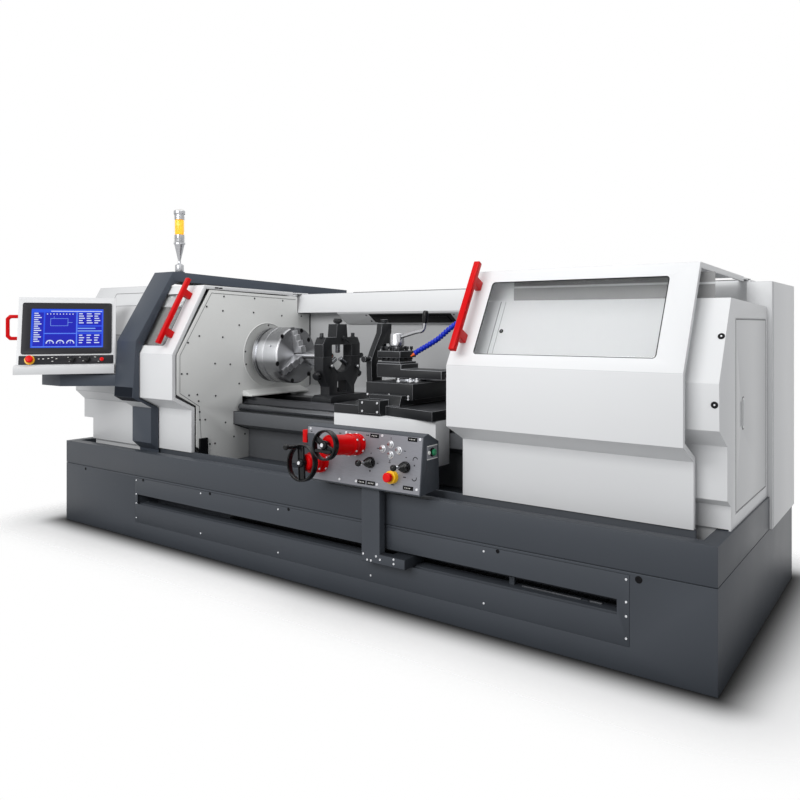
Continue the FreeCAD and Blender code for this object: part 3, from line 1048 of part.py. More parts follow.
def reach_rod(label, radius, start, end, origin, unit):
    step_vector = V(*end) - V(*start)
    base_at = tuple(part + shift * unit for part, shift in zip(origin, start))
    return rod(label, radius, step_vector.Length * unit, base_at, towards(*step_vector))


LEVER_PATH = ((30, 0, -20), (124, 0, 5), (160, 0, 11), (176, 0, 25), (182, 0, 54))
lever_at = POST + (S.lever_cap_height,)
lever_unit = S.lever_cap_radius / 40
lever_parts = [reach_rod(f"lever_rod_{index}", S.lever_rod, start, end, lever_at, lever_unit)
               for index, (start, end) in enumerate(zip(LEVER_PATH, LEVER_PATH[1:]))]
lever_parts.append(reach_rod("lever_grip", S.lever_grip, (182, 0, 54), (188, 0, 120), lever_at, lever_unit))
node(fuse("clamp_lever", lever_cap, *lever_parts))

# ---- coolant hose and follow rest ---------------------------------------------------------

HOSE = ((-327, -300, -18), (-311, -294, -5), (-260, -276, 26), (-210, -252, 62), (-160, -210, 118),
        (-110, -130, 176), (-66, -72, 206), (-50, -50, 200))
hose_unit = S.hose_rise / 270
hose_at = (S.saddle_end, S.bed_rear_depth, S.saddle_top + S.hose_rise)


def smooth(path, pieces):
    result = []
    for index in range(len(path) - 1):
        before = path[max(index - 1, 0)]
        after = path[min(index + 2, len(path) - 1)]
        start, end = path[index], path[index + 1]
        for count in range(pieces):
            t = count / pieces
            result.append(tuple(
                0.5 * (2 * b + (c - a) * t + (2 * a - 5 * b + 4 * c - d) * t ** 2 + (3 * b - a - 3 * c + d) * t ** 3)
                for a, b, c, d in zip(before, start, end, after)))
    return result + [path[-1]]


hose_spots = smooth(HOSE, 3)
hose_parts = []
for index, (start, end) in enumerate(zip(hose_spots, hose_spots[1:])):
    vector = V(*end) - V(*start)
    link_part = DOC.addObject("Part::Cone", f"hose_link_{index}")
    link(link_part, Radius1=S.hose_radius, Radius2=S.hose_radius - 3, Height=vector.Length * hose_unit + 1.5)
    base_at = tuple(part + shift * hose_unit for part, shift in zip(hose_at, start))
    hose_parts.append(place(link_part, base_at, towards(*vector)))
nozzle = reach_rod("hose_nozzle", S.hose_radius - 4, (-345, -310, -32), (-322, -298, -14), hose_at,
                   hose_unit)
pipe_foot = (S.saddle_end - hose_unit * 50, S.bed_rear_depth - hose_unit * 50, S.saddle_top)
pipe = rod("hose_pipe", S.pipe_radius, S.hose_rise * 1.74, pipe_foot)
flange = rod("hose_flange", S.pipe_radius * 2.4, 10, pipe_foot)
node(fuse("coolant_hose", nozzle, pipe, flange, *hose_parts))

follow_unit = (S.spindle_height - S.saddle_top) / 218
rest_line = [(-125, -218), (-35, -218), (-45, -100), (-76, -50), (-80, 0), (-60, 54), (-26, 80), (40, 80),
             (44, 192), (-44, 192), (-52, 140), (-112, 44), (-140, -8), (-138, -80)]
follow_line = [(AXIS + follow_unit * depth, S.spindle_height + follow_unit * height) for depth, height in rest_line]
follow_plate = prism("follow_plate", follow_line, S.follow_thickness, (S.follow_start, 0, 0))
follow_middle = S.follow_start + S.follow_thickness / 2
upper_jaw = rod("follow_upper", S.follow_pin, follow_unit * 190, (follow_middle, AXIS, S.spindle_height + S.finger_tip), UPRIGHT)
upper_knob = rod("follow_upper_knob", S.follow_pin + 8, 14, (follow_middle, AXIS, S.spindle_height + S.finger_tip + follow_unit * 178))
front_jaw = rod("follow_front", S.follow_pin, follow_unit * 160, (follow_middle, AXIS - S.finger_tip, S.spindle_height), towards(0, -1, 0))
front_knob = rod("follow_front_knob", S.follow_pin + 5, 14, (follow_middle, AXIS - S.finger_tip - follow_unit * 150, S.spindle_height),
                 towards(0, -1, 0))
node(fuse("follow_rest", follow_plate, upper_jaw, upper_knob, front_jaw, front_knob))

# ---- control box, carrier and handwheels --------------------------------------------------

face_run = S.box_brow_depth - S.box_toe_depth
face_fall = S.box_brow_height - S.box_toe_height
BETA = math.atan2(face_run.value, face_fall.value)
FACE_DOWN = (-math.sin(BETA), -math.cos(BETA))
FACE_OUT = (-math.cos(BETA), math.sin(BETA))
box_face = turn((1, 0, 0), (0, -FACE_DOWN[0], -FACE_DOWN[1]), (0, FACE_OUT[0], FACE_OUT[1]))


def face_spot(station, down, out):
    return (station, S.box_brow_depth + FACE_DOWN[0] * down + FACE_OUT[0] * out,
            S.box_brow_height + FACE_DOWN[1] * down + FACE_OUT[1] * out)


box_body = prism("box_body", corners("box"), S.box_end - S.box_start, (S.box_start, 0, 0))
inset = prism("box_inset", [(S.box_start - 1, S.box_toe_height - 10), (S.box_start + S.box_inset, S.box_toe_height - 10),
                            (S.box_start + S.box_inset, S.box_toe_height), (S.box_start, S.box_brow_height - 30),
                            (S.box_start - 1, S.box_brow_height - 30)],
              300, (0, S.box_toe_depth + 280, 0), ALONG_FRONT)
WHEELS = (("upper", S.wheel_upper_at, S.wheel_upper_down, S.wheel_upper_stand, S.upper_barrel, S.wheel_upper_radius),
          ("lower", S.wheel_lower_at, S.wheel_lower_down, S.wheel_lower_stand, S.lower_barrel, S.wheel_lower_radius))
barrels = []
wheel_bores = []
for label, station, down, stand, radius, rim_radius in WHEELS:
    barrels.append(turned(f"{label}_barrel", [
        (ZERO, ZERO - 2), (S.barrel_flange, ZERO - 2), (S.barrel_flange, S.barrel_flange_height),
        (radius, S.barrel_flange_height), (radius, S.barrel_flange_height * 2), (S.barrel_flange, S.barrel_flange_height * 2),
        (S.barrel_flange, S.barrel_flange_height * 3), (radius, S.barrel_flange_height * 3), (radius, stand - 8),
        (radius - 8, stand), (ZERO, stand)], face_spot(station, down, ZERO), box_face))
    wheel_bores.append(rod(f"{label}_wheel_bore", S.stem_radius + 0.5, 30, face_spot(station, down, stand - 24), box_face))
    start = stand + S.wheel_gap
    origin = face_spot(station, down, start)
    deep_at = S.wheel_hub_height * 0.6
    r, t = rim_radius - S.wheel_rim, S.wheel_rim
    octagon = [(r + t * math.cos(math.radians(a)), deep_at + t * math.sin(math.radians(a)))
               for a in range(22, 382, 45)]
    hub = turned(f"{label}_hub", [(ZERO, ZERO - 22), (S.stem_radius, ZERO - 22), (S.stem_radius, ZERO), (S.wheel_hub, ZERO),
                                  (S.wheel_hub, S.wheel_hub_height - 4), (S.wheel_hub - 4, S.wheel_hub_height),
                                  (ZERO, S.wheel_hub_height)], origin, box_face)
    ring_part = turned(f"{label}_rim", octagon, origin, box_face)
    spokes = []
    for index, degrees in enumerate((95, 215, 335)):
        angle = math.radians(degrees)
        side = (math.cos(angle), math.sin(angle))
        along = (side[0], -FACE_DOWN[0] * side[1], -FACE_DOWN[1] * side[1])
        across = (-side[1], -FACE_DOWN[0] * side[0], -FACE_DOWN[1] * side[0])
        spoke_turn = turn(along, across, (0, FACE_OUT[0], FACE_OUT[1]))
        spokes.append(prism(f"{label}_spoke_{index}", [(S.wheel_hub - 3, S.spoke_width * -0.5), (r, S.spoke_width * -0.4),
                                                       (r, S.spoke_width * 0.4), (S.wheel_hub - 3, S.spoke_width * 0.5)],
                            S.spoke_thickness, face_spot(station, down, start + deep_at - S.spoke_thickness / 2), spoke_turn))
    parts = [hub, ring_part] + spokes
    if label == "lower":
        angle = math.radians(115)
        crank_at = (station + r * math.cos(angle), down - r * math.sin(angle))
        peg_at = face_spot(crank_at[0], crank_at[1], start + deep_at)
        parts.append(rod("crank_peg", S.crank_peg, S.crank_length, peg_at, box_face))
        grip_at = face_spot(crank_at[0], crank_at[1], start + deep_at + t + S.wheel_gap)
        node(turned("crank_grip", [(S.crank_peg + 0.5, ZERO), (S.crank_radius - 3, ZERO), (S.crank_radius, S.crank_length * 0.3),
                                   (S.crank_radius + 1, S.crank_length * 0.7), (S.crank_radius - 2, S.crank_length),
                                   (ZERO, S.crank_length + 2), (ZERO, S.crank_length - t + 1),
                                   (S.crank_peg + 0.5, S.crank_length - t + 1)], grip_at, box_face))
    node(fuse(f"{label}_wheel", *parts))

side_lug = box("box_side_lug", (S.box_start - 26, S.box_brow_depth - 6, S.box_brow_height - 82),
               (S.box_start + 4, S.box_brow_depth + 40, S.box_brow_height - 24))
extras = [side_lug]
collar_bores = []
for index, station in enumerate((S.boot_a, S.boot_b)):
    extras.append(rod(f"boot_collar_{index}", S.boot_radius, 10, face_spot(station, S.boot_down, ZERO), box_face))
    collar_bores.append(rod(f"boot_bore_{index}", S.boot_radius - 7, 12 + S.boot_bore_depth,
                            face_spot(station, S.boot_down, -S.boot_bore_depth), box_face))
for index, (station, down) in enumerate(((483, 46), (442, 68), (527, 67), (486, 89))):
    extras.append(rod(f"axis_button_{index}", S.button_radius, S.button_reach,
                      face_spot(S.box_start + station, ZERO + down, ZERO), box_face))
extras.append(rod("box_stop_collar", S.stop_collar, S.stop_sleeve, face_spot(S.box_stop_at, S.box_stop_down, ZERO), box_face))
stop_bore = rod("box_stop_bore", S.stem_radius + 0.5, 70, face_spot(S.box_stop_at, S.box_stop_down, ZERO - 30), box_face)
start_plate = pane("start_plate", S.start_plate_width, S.start_plate_height, 4, 4,
                   (S.box_end - 2, S.start_in, S.start_height), ALONG_X)
start_bore = rod("start_bore", S.stem_radius + 0.5, 40, (S.box_end - 24, S.start_in, S.start_height), ALONG_BAR)
box_raw = fuse("box_raw", box_body, *barrels, *extras, start_plate)
node(cut("control_box", box_raw, inset, *wheel_bores, *collar_bores, stop_bore, start_bore))

button("box_stop", ZERO - 24, S.stop_sleeve + 6, S.stop_radius, S.stop_sleeve + 28,
       face_spot(S.box_stop_at, S.box_stop_down, ZERO), box_face)
button("start_button", ZERO - 14, 2 + S.press, S.start_radius, 2 + S.press + S.start_reach,
       (S.box_end, S.start_in, S.start_height), ALONG_BAR)
for label, station in (("joystick_left", S.boot_a), ("joystick_right", S.boot_b)):
    wide = S.boot_radius - 4
    foot_at = -S.boot_bore_depth + 0.3
    ball = S.stick_length
    node(turned(label, [(ZERO, foot_at), (ZERO + 1.5, foot_at), (ZERO + 7, ZERO - 2), (wide - 10, ZERO + 2),
                        (wide - 9, ZERO + 13), (wide, ZERO + 21), (wide - 5, ZERO + 38), (wide - 12, S.boot_height),
                        (S.stick_radius, S.boot_height), (S.stick_radius, ball - S.stick_ball * 0.9),
                        (S.stick_ball, ball - S.stick_ball * 0.4), (S.stick_ball, ball + S.stick_ball * 0.4),
                        (S.stick_ball * 0.5, ball + S.stick_ball), (ZERO, ball + S.stick_ball)],
                face_spot(station, S.boot_down, ZERO), box_face))

heel_rise = (S.box_heel_height - S.box_toe_height) / (S.box_heel_depth - S.box_toe_depth)


def box_floor(depth):
    return S.box_toe_height + (depth - S.box_toe_depth) * heel_rise


post_plate = prism("carrier_post", [(S.carrier_front, S.carrier_floor), (S.carrier_back, S.carrier_floor),
                                    (S.carrier_back, box_floor(S.carrier_back)), (S.carrier_front, box_floor(S.carrier_front))],
                   S.carrier_end - S.carrier_start, (S.carrier_start, 0, 0))
carrier_foot = box("carrier_foot", (S.carrier_start, S.carrier_front, S.carrier_floor),
                   (S.carrier_foot_end, S.carrier_back, S.carrier_foot_top))
shoe_block = box("carrier_shoe", (S.carrier_end + 45, S.carrier_back - 1, S.carrier_floor),
                 (S.carrier_foot_end, S.shoe_back, S.carrier_foot_top))
node(fuse("carrier_arm", post_plate, carrier_foot, shoe_block))

# ---- tailstock ----------------------------------------------------------------------------

tail_foot = prism("tail_foot", foot_line, S.tail_end - S.tail_start, (S.tail_start, 0, 0))
tail_column = prism("tail_column", [(AXIS - 110, S.steady_foot_top - 2), (AXIS - S.tail_barrel, S.spindle_height),
                                    (AXIS + S.tail_barrel, S.spindle_height), (AXIS + 110, S.steady_foot_top - 2)],
                    S.tail_end - S.tail_start - 30, (S.tail_start + 15, 0, 0))
barrel = rod("tail_barrel", S.tail_barrel, S.tail_end - S.tail_start, (S.tail_start,) + SPINDLE, ALONG_BAR)
quill_bore = rod("quill_bore", S.quill_radius + 0.5, S.quill_end + 8 - S.tail_start + 1, (S.tail_start - 1,) + SPINDLE, ALONG_BAR)
wheel_bore = rod("tail_wheel_bore", S.stem_radius + 0.5, 60, (S.tail_end - 40,) + SPINDLE, ALONG_BAR)
node(cut("tailstock", fuse("tail_solid", tail_foot, tail_column, barrel), quill_bore, wheel_bore))
quill_length = S.quill_end - S.quill_start
cone = S.centre_length
node(turned("quill", [(ZERO, -cone), (S.centre_radius, -cone * 0.4), (S.centre_radius, ZERO), (S.quill_radius, ZERO),
                      (S.quill_radius, quill_length), (ZERO, quill_length)], (S.quill_start,) + SPINDLE, ALONG_BAR))
tail_origin = (S.tail_end + S.wheel_gap,) + SPINDLE
r = S.tail_wheel_radius - S.wheel_rim
tail_rim = turned("tail_rim", [(r + S.wheel_rim * math.cos(math.radians(a)), S.wheel_hub_height + S.wheel_rim * math.sin(math.radians(a)))
                               for a in range(22, 382, 45)], tail_origin, ALONG_BAR)
tail_hub = turned("tail_hub", [(ZERO, ZERO - 8), (S.stem_radius, ZERO - 8), (S.stem_radius, ZERO), (S.wheel_hub + 10, ZERO),
                               (S.wheel_hub, S.wheel_hub_height + 14), (ZERO, S.wheel_hub_height + 14)], tail_origin, ALONG_BAR)
tail_spokes = []
for index, degrees in enumerate((90, 210, 330)):
    angle = math.radians(degrees)
    along = (0, math.cos(angle), math.sin(angle))
    across = (0, -math.sin(angle), math.cos(angle))
    tail_spokes.append(prism(f"tail_spoke_{index}", [(S.wheel_hub - 3, S.spoke_width * -0.5), (r, S.spoke_width * -0.4),
                                                     (r, S.spoke_width * 0.4), (S.wheel_hub - 3, S.spoke_width * 0.5)],
                             S.spoke_thickness, (tail_origin[0] + S.wheel_hub_height - S.spoke_thickness / 2,) + SPINDLE,
                             turn(along, across, (1, 0, 0))))
node(fuse("tailstock_wheel", tail_hub, tail_rim, *tail_spokes))

# ---- checks and files ---------------------------------------------------------------------

DOC.recompute()
troubles = []
for item in DOC.Objects:
    if "Invalid" in item.State or "Error" in item.State:
        troubles.append(f"{item.Label}: {item.State}")
for label, shape in NODES.items():
    if shape.Shape.isNull() or not shape.Shape.isValid():
        troubles.append(f"{label}: no valid shape")
if troubles:
    raise RuntimeError("; ".join(troubles))
os.makedirs("parts", exist_ok=True)
for label, shape in NODES.items():
    shape.Shape.exportStep(f"parts/{label}.step")
print(len(NODES), "parts,", ROW, "sizes")
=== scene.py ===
import json
import math
import bpy
import bmesh
from mathutils import Matrix, Vector

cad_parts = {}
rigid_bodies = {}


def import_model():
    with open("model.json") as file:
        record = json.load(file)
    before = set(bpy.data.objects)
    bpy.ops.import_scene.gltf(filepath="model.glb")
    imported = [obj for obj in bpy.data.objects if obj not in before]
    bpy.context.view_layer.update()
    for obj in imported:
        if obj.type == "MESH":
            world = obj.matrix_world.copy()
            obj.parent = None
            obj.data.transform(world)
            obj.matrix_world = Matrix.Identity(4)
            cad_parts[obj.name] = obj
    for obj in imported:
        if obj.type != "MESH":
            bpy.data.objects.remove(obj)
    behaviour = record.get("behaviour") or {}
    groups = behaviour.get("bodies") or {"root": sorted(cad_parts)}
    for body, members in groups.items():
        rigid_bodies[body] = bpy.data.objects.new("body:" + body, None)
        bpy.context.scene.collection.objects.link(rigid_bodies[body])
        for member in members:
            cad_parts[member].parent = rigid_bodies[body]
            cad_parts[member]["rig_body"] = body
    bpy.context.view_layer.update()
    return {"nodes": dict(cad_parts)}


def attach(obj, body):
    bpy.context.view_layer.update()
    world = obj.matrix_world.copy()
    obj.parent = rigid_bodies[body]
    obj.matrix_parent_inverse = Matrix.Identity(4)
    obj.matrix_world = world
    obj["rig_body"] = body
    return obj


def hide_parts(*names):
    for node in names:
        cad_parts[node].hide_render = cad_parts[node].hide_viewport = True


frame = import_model()
nodes = frame["nodes"]
scene = bpy.context.scene
print("frame loaded:", len(nodes), "nodes")

# lengths are mm from the base's left front corner on the floor, as in the part's drawings
base = {"midLength": 1960, "midDepth": 739}
spindleAxis = (700, 1050)  # depth and height


def at(x, y, z):
    return Vector(((x - base["midLength"]) / 1000, (y - base["midDepth"]) / 1000, z / 1000))


camera = {"place": (2.5689, -3.3696, 1.236), "turn": 35.941, "lens": 33.857, "shiftY": -0.0943}


def addObject(name, data):
    made = bpy.data.objects.new(name, data)
    scene.collection.objects.link(made)
    return made


def meshOf(name, bm):
    mesh = bpy.data.meshes.new(name)
    bm.to_mesh(mesh)
    bm.free()
    return mesh


def setCamera():
    data = bpy.data.cameras.new("studioCamera")
    data.lens = camera["lens"]
    data.sensor_width = 36
    data.shift_y = camera["shiftY"]
    data.clip_end = 100
    holder = addObject("studioCamera", data)
    holder.location = camera["place"]
    holder.rotation_euler = (math.radians(90), 0, math.radians(camera["turn"]))
    scene.camera = holder


setCamera()
print("camera set")


def tune(made, **values):
    # in_Some_Name or in_0 sets an input of the node, anything else a property
    for key, value in values.items():
        if key.startswith("in_"):
            slot = key[3:].replace("_", " ")
            made.inputs[int(slot) if slot.isdigit() else slot].default_value = value
        else:
            setattr(made, key, value)
    return made


def node(tree, kind, **values):
    # a kind may say its operation, as in "Math MULTIPLY"
    kind, *operation = kind.split()
    made = tree.nodes.new(kind if kind.startswith("Node") else "ShaderNode" + kind)
    if operation:
        made.operation = operation[0]
    return tune(made, **values)


def ranged(tree, low, high, least, most, kind="LINEAR"):
    return node(tree, "MapRange", interpolation_type=kind, in_From_Min=low, in_From_Max=high, in_To_Min=least,
        in_To_Max=most)


def wire(tree, *routes):
    for start, leaving, end, entering in routes:
        tree.links.new(start.outputs[leaving], end.inputs[entering])


def newGroup(name, *inputs):
    tree = bpy.data.node_groups.new(name, "ShaderNodeTree")
    for label, kind, value in inputs:
        socket = tree.interface.new_socket(name=label, in_out="INPUT", socket_type="NodeSocket" + kind)
        socket.default_value = value
    for label, kind in (("Color", "Color"), ("Roughness", "Float"), ("Height", "Float")):
        tree.interface.new_socket(name=label, in_out="OUTPUT", socket_type="NodeSocket" + kind)
    return tree, node(tree, "NodeGroupInput"), node(tree, "NodeGroupOutput")


def cloud(tree, scale, detail, least, most):
    # a soft cloud over the object, spread between two values
    place = node(tree, "TexCoord")
    haze = node(tree, "TexNoise", in_Scale=scale, in_Detail=detail)
    tone = ranged(tree, 0, 1, least, most)
    wire(tree, (place, "Object", haze, "Vector"), (haze, "Fac", tone, "Value"))
    return place, tone


def closeGroup(tree, into, out, tone, spread, share, height):
    # the tone sets the colour's value, a share of the spread is added to the gloss
    tint = node(tree, "HueSaturation")
    gloss = node(tree, "Math MULTIPLY_ADD", in_1=share)
    wire(tree, (into, "Color", tint, "Color"), (tone, 0, tint, "Value"), (tint, "Color", out, "Color"),
        (spread, "Fac", gloss, 0), (into, "Gloss", gloss, 2), (gloss, 0, out, "Roughness"),
        (height, "Fac", out, "Height"))
    return tree


def buildGrainGroup():
    # orange peel of a sprayed coat: a fine height and a broad, faint change of tone and gloss
    tree, into, out = newGroup(
        "sprayGrain", ("Color", "Color", (0.8, 0.8, 0.8, 1)), ("Grain Scale", "Float", 700),
        ("Tone", "Float", 0.06), ("Gloss", "Float", 0.4))
    place = node(tree, "TexCoord")
    fine = node(tree, "TexNoise", in_Detail=2)
    broad = node(tree, "TexNoise", in_Scale=2.6, in_Detail=5, in_Roughness=0.62)
    swing = node(tree, "Math MULTIPLY_ADD", in_2=1)
    centre = node(tree, "Math MULTIPLY_ADD", in_1=-0.5)
    wire(tree, (place, "Object", fine, "Vector"), (place, "Object", broad, "Vector"),
        (into, "Grain Scale", fine, "Scale"), (broad, "Fac", swing, 0), (into, "Tone", swing, 1),
        (into, "Tone", centre, 0), (swing, 0, centre, 2))
    return closeGroup(tree, into, out, centre, broad, 0.16, fine)


def buildCutGroup():
    # fine lines that a tool or a belt leaves, drawn out along one direction
    tree, into, out = newGroup(
        "cutLines", ("Color", "Color", (0.6, 0.6, 0.62, 1)), ("Stretch", "Vector", (1, 40, 40)),
        ("Scale", "Float", 30), ("Gloss", "Float", 0.25))
    place = node(tree, "TexCoord")
    scaled = node(tree, "VectorMath MULTIPLY")
    lines = node(tree, "TexNoise", in_Detail=4, in_Roughness=0.7)
    tone = ranged(tree, 0.3, 0.7, 0.86, 1.1)
    wire(tree, (place, "Object", scaled, 0), (into, "Stretch", scaled, 1), (scaled, 0, lines, "Vector"),
        (into, "Scale", lines, "Scale"), (lines, "Fac", tone, "Value"))
    return closeGroup(tree, into, out, tone, lines, 0.2, lines)


grainGroup = buildGrainGroup()
cutGroup = buildCutGroup()


def shade(red, green, blue):
    # a colour as a paint chart gives it, 0 to 255, in the renderer's linear values
    return tuple(((v / 255 + 0.055) / 1.055) ** 2.4 if v > 10 else v / 3294 for v in (red, green, blue)) + (1,)


def newMaterial(name):
    made = bpy.data.materials.new(name)
    made.use_nodes = True
    return made, made.node_tree, made.node_tree.nodes["Principled BSDF"]


def finish(name, group, bump, distance, metallic=0.0, specular=0.5, **values):
    made, tree, shader = newMaterial(name)
    pattern = node(tree, "Group", node_tree=group, **values)
    relief = node(tree, "Bump", in_Strength=bump, in_Distance=distance)
    wire(tree, (pattern, "Color", shader, "Base Color"), (pattern, "Roughness", shader, "Roughness"),
        (pattern, "Height", relief, "Height"), (relief, "Normal", shader, "Normal"))
    tune(shader, in_Metallic=metallic, in_Specular_IOR_Level=specular)
    made.diffuse_color = values["in_Color"]
    return made


def paint(name, color, gloss, tone=0.08, specular=0.4, scale=700, bump=0.12, distance=0.0006):
    # tone is how far its lightness wanders
    return finish(name, grainGroup, bump, distance, specular=specular, in_Color=shade(*color), in_Gloss=gloss,
        in_Grain_Scale=scale, in_Tone=tone)


def metal(name, color, gloss, stretch, scale=30, bump=0.1, metallic=1.0, distance=0.0003):
    return finish(name, cutGroup, bump, distance, metallic=metallic, in_Color=shade(*color), in_Gloss=gloss,
        in_Stretch=stretch, in_Scale=scale)


def turnedMetal(name, color, gloss):
    # rings left by turning about the spindle's axis, and a painted highlight: a bow-tie streak of light painted into
    # the colour by the angle round the axis
    made, tree, shader = newMaterial(name)
    place = node(tree, "TexCoord")
    centred = node(tree, "VectorMath SUBTRACT", in_1=at(1960, *spindleAxis))
    apart = node(tree, "VectorMath MULTIPLY", in_1=(0, 1, 1))
    reach = node(tree, "VectorMath LENGTH")
    split = node(tree, "SeparateXYZ")
    total = node(tree, "CombineXYZ")
    rings = node(tree, "TexNoise", in_Scale=260, in_Detail=3, in_Roughness=0.6)
    tone = ranged(tree, 0.3, 0.7, 0.975, 1.02)
    tint = node(tree, "HueSaturation", in_Color=shade(*color))
    wire(tree, (place, "Object", centred, 0), (centred, 0, apart, 0), (apart, 0, reach, 0), (centred, 0, split, 0),
        (split, "X", total, "X"), (reach, "Value", total, "Y"), (total, 0, rings, "Vector"))
    # painted highlight: the colour is lightened in two opposite streaks by the angle round the spindle's axis
    spread = node(tree, "SeparateXYZ")
    bearing = node(tree, "Math ARCTAN2")
    doubled = node(tree, "Math MULTIPLY_ADD", in_1=2, in_2=0.35)
    swing = node(tree, "Math COSINE")
    paintedStreak = ranged(tree, 0.62, 1, 0.44, 1.6, "SMOOTHSTEP")
    both = node(tree, "Math MULTIPLY")
    wire(tree, (apart, 0, spread, 0), (spread, "Z", bearing, 0), (spread, "Y", bearing, 1), (bearing, 0, doubled, 0),
        (doubled, 0, swing, 0), (swing, 0, paintedStreak, "Value"), (rings, "Fac", tone, "Value"), (tone, "Result", both, 0),
        (paintedStreak, "Result", both, 1), (both, 0, tint, "Value"), (tint, "Color", shader, "Base Color"))
    around = node(tree, "VectorMath CROSS_PRODUCT", in_0=(1, 0, 0))
    gleam = node(tree, "Math MULTIPLY_ADD", in_1=0.04, in_2=gloss)
    wire(tree, (apart, 0, around, 1), (around, 0, shader, "Tangent"), (rings, "Fac", gleam, 0),
        (gleam, 0, shader, "Roughness"))
    tune(shader, in_Metallic=0.6, in_Anisotropic=0.45)
    return made


slatePaint = paint("slatePaint", (65, 69, 75), 0.36, 0.14, 0.2, scale=900, bump=0.2)
slateArch = paint("slateArch", (68, 74, 83), 0.34, 0.12, 0.2, scale=900, bump=0.2)
whitePaint = paint("whitePaint", (226, 227, 228), 0.3, 0.03, 0.25)
coverPaint = paint("coverPaint", (214, 215, 216), 0.3, 0.04)
wallPaint = paint("wallPaint", (216, 217, 215), 0.34, 0.05)
castPaint = paint("castPaint", (40, 41, 43), 0.24, 0.4, 0.16, scale=420, bump=0.35, distance=0.0008)
# painted light on broken edges: the grey one is a painted shade along the edges of white sheets, the light one a
# painted highlight along the edges of castings
sheetEdgeShade = paint("sheetEdgeShade", (184, 185, 187), 0.3, 0.04)
castEdgeHighlight = paint("castEdgeHighlight", (150, 152, 156), 0.3, 0.1)
bedPaint = paint("bedPaint", (92, 94, 97), 0.36, 0.16, 0.2, scale=420, bump=0.3, distance=0.0008)
redPaint = paint("redPaint", (204, 2, 7), 0.24, 0.04, 0.14, bump=0.05)
blackPlastic = paint("blackPlastic", (17, 18, 20), 0.16, 0.1, 0.24, scale=1200, bump=0.03)
rubberBlack = paint("rubberBlack", (26, 26, 28), 0.45, 0.1, 0.12, scale=1500)
redPlastic = paint("redPlastic", (220, 10, 10), 0.2, 0.04, 0.2, bump=0.02)
yellowPlastic = paint("yellowPlastic", (246, 190, 20), 0.22, 0.04, bump=0.02)
greenPlastic = paint("greenPlastic", (18, 116, 74), 0.22, 0.04, bump=0.02)
bluePlastic = paint("bluePlastic", (16, 44, 186), 0.3, 0.08, 0.3, bump=0.05)
orangePlastic = paint("orangePlastic", (236, 96, 24), 0.3, 0.05, bump=0.05)
labelBlack = paint("labelBlack", (16, 16, 18), 0.35, 0.05, 0.08)
labelWhite = paint("labelWhite", (232, 232, 228), 0.35, 0.03)
bezelGrey = paint("bezelGrey", (40, 40, 43), 0.36, 0.06, 0.14, scale=1400)
platePaint = metal("platePaint", (130, 131, 137), 0.34, (1, 1, 30), 26, 0.06, 0.45)
waySteel = metal("waySteel", (92, 93, 97), 0.2, (1, 60, 60), 14, 0.12)
slideSteel = metal("slideSteel", (128, 130, 134), 0.16, (40, 1, 40), 16, 0.1)
chuckSteel = metal("chuckSteel", (176, 177, 180), 0.2, (120, 3, 3), 9, 0.04, 0.7)
turnedSteel = turnedMetal("turnedSteel", (182, 183, 186), 0.24)
brightSteel = metal("brightSteel", (176, 177, 180), 0.16, (4, 4, 4), 60, 0.04)
screwZinc = metal("screwZinc", (222, 223, 226), 0.25, (1, 1, 1), 300, 0.1, 0.8)
# grey of real seams, also used as a painted shadow round the side grip
seamAndShadowGrey = paint("seamAndShadowGrey", (104, 104, 106), 0.5, 0.05)
# a grey painted as shade, for sheets that stand for the shaded inside behind the windows
liningShadeGrey = paint("liningShadeGrey", (150, 150, 150), 0.4, 0.06)
liningLight = paint("liningLight", (208, 208, 209), 0.34, 0.04)
# painted shade: the back panel's paint is a darker copy of the cover paint, for the shade beneath the beam
backShadePaint = paint("backShadePaint", (196, 197, 198), 0.34, 0.05)
lampGrey = paint("lampGrey", (92, 93, 94), 0.2, 0.05, bump=0.02)
pocketSlate = paint("pocketSlate", (46, 49, 54), 0.45, 0.1, 0.1)
# painted shade for the dark pocket in the arch
pocketShade = paint("pocketShade", (24, 28, 35), 0.5, 0.1, 0.05)
railSteel = metal("railSteel", (120, 122, 126), 0.3, (1, 40, 40), 14, 0.1, 0.7)
screwBlack = metal("screwBlack", (34, 36, 39), 0.3, (1, 1, 1), 300, 0.1, 0.3)


def glassMaterial(name, color, roughness, bend=1.12):
    made, tree, shader = newMaterial(name)
    tone = cloud(tree, 7, 3, roughness, roughness * 3)[1]
    wire(tree, (tone, "Result", shader, "Roughness"))
    tune(shader, in_Base_Color=color, in_Transmission_Weight=1, in_IOR=bend)
    return made


def glowMaterial(name, color, strength, onGlass=False):
    # light from within, out of the coloured body itself or through a dark pane
    made, tree, shader = newMaterial(name)
    tone = cloud(tree, 40, 2, 0.92, 1.06)[1]
    mix = node(tree, "HueSaturation", in_Color=shade(*color))
    wire(tree, (tone, "Result", mix, "Value"), (mix, "Color", shader, "Emission Color"))
    if onGlass:
        tune(shader, in_Base_Color=(0.01, 0.01, 0.014, 1), in_Specular_IOR_Level=0.1)
    else:
        wire(tree, (mix, "Color", shader, "Base Color"))
    tune(shader, in_Emission_Strength=strength, in_Roughness=0.25)
    return made


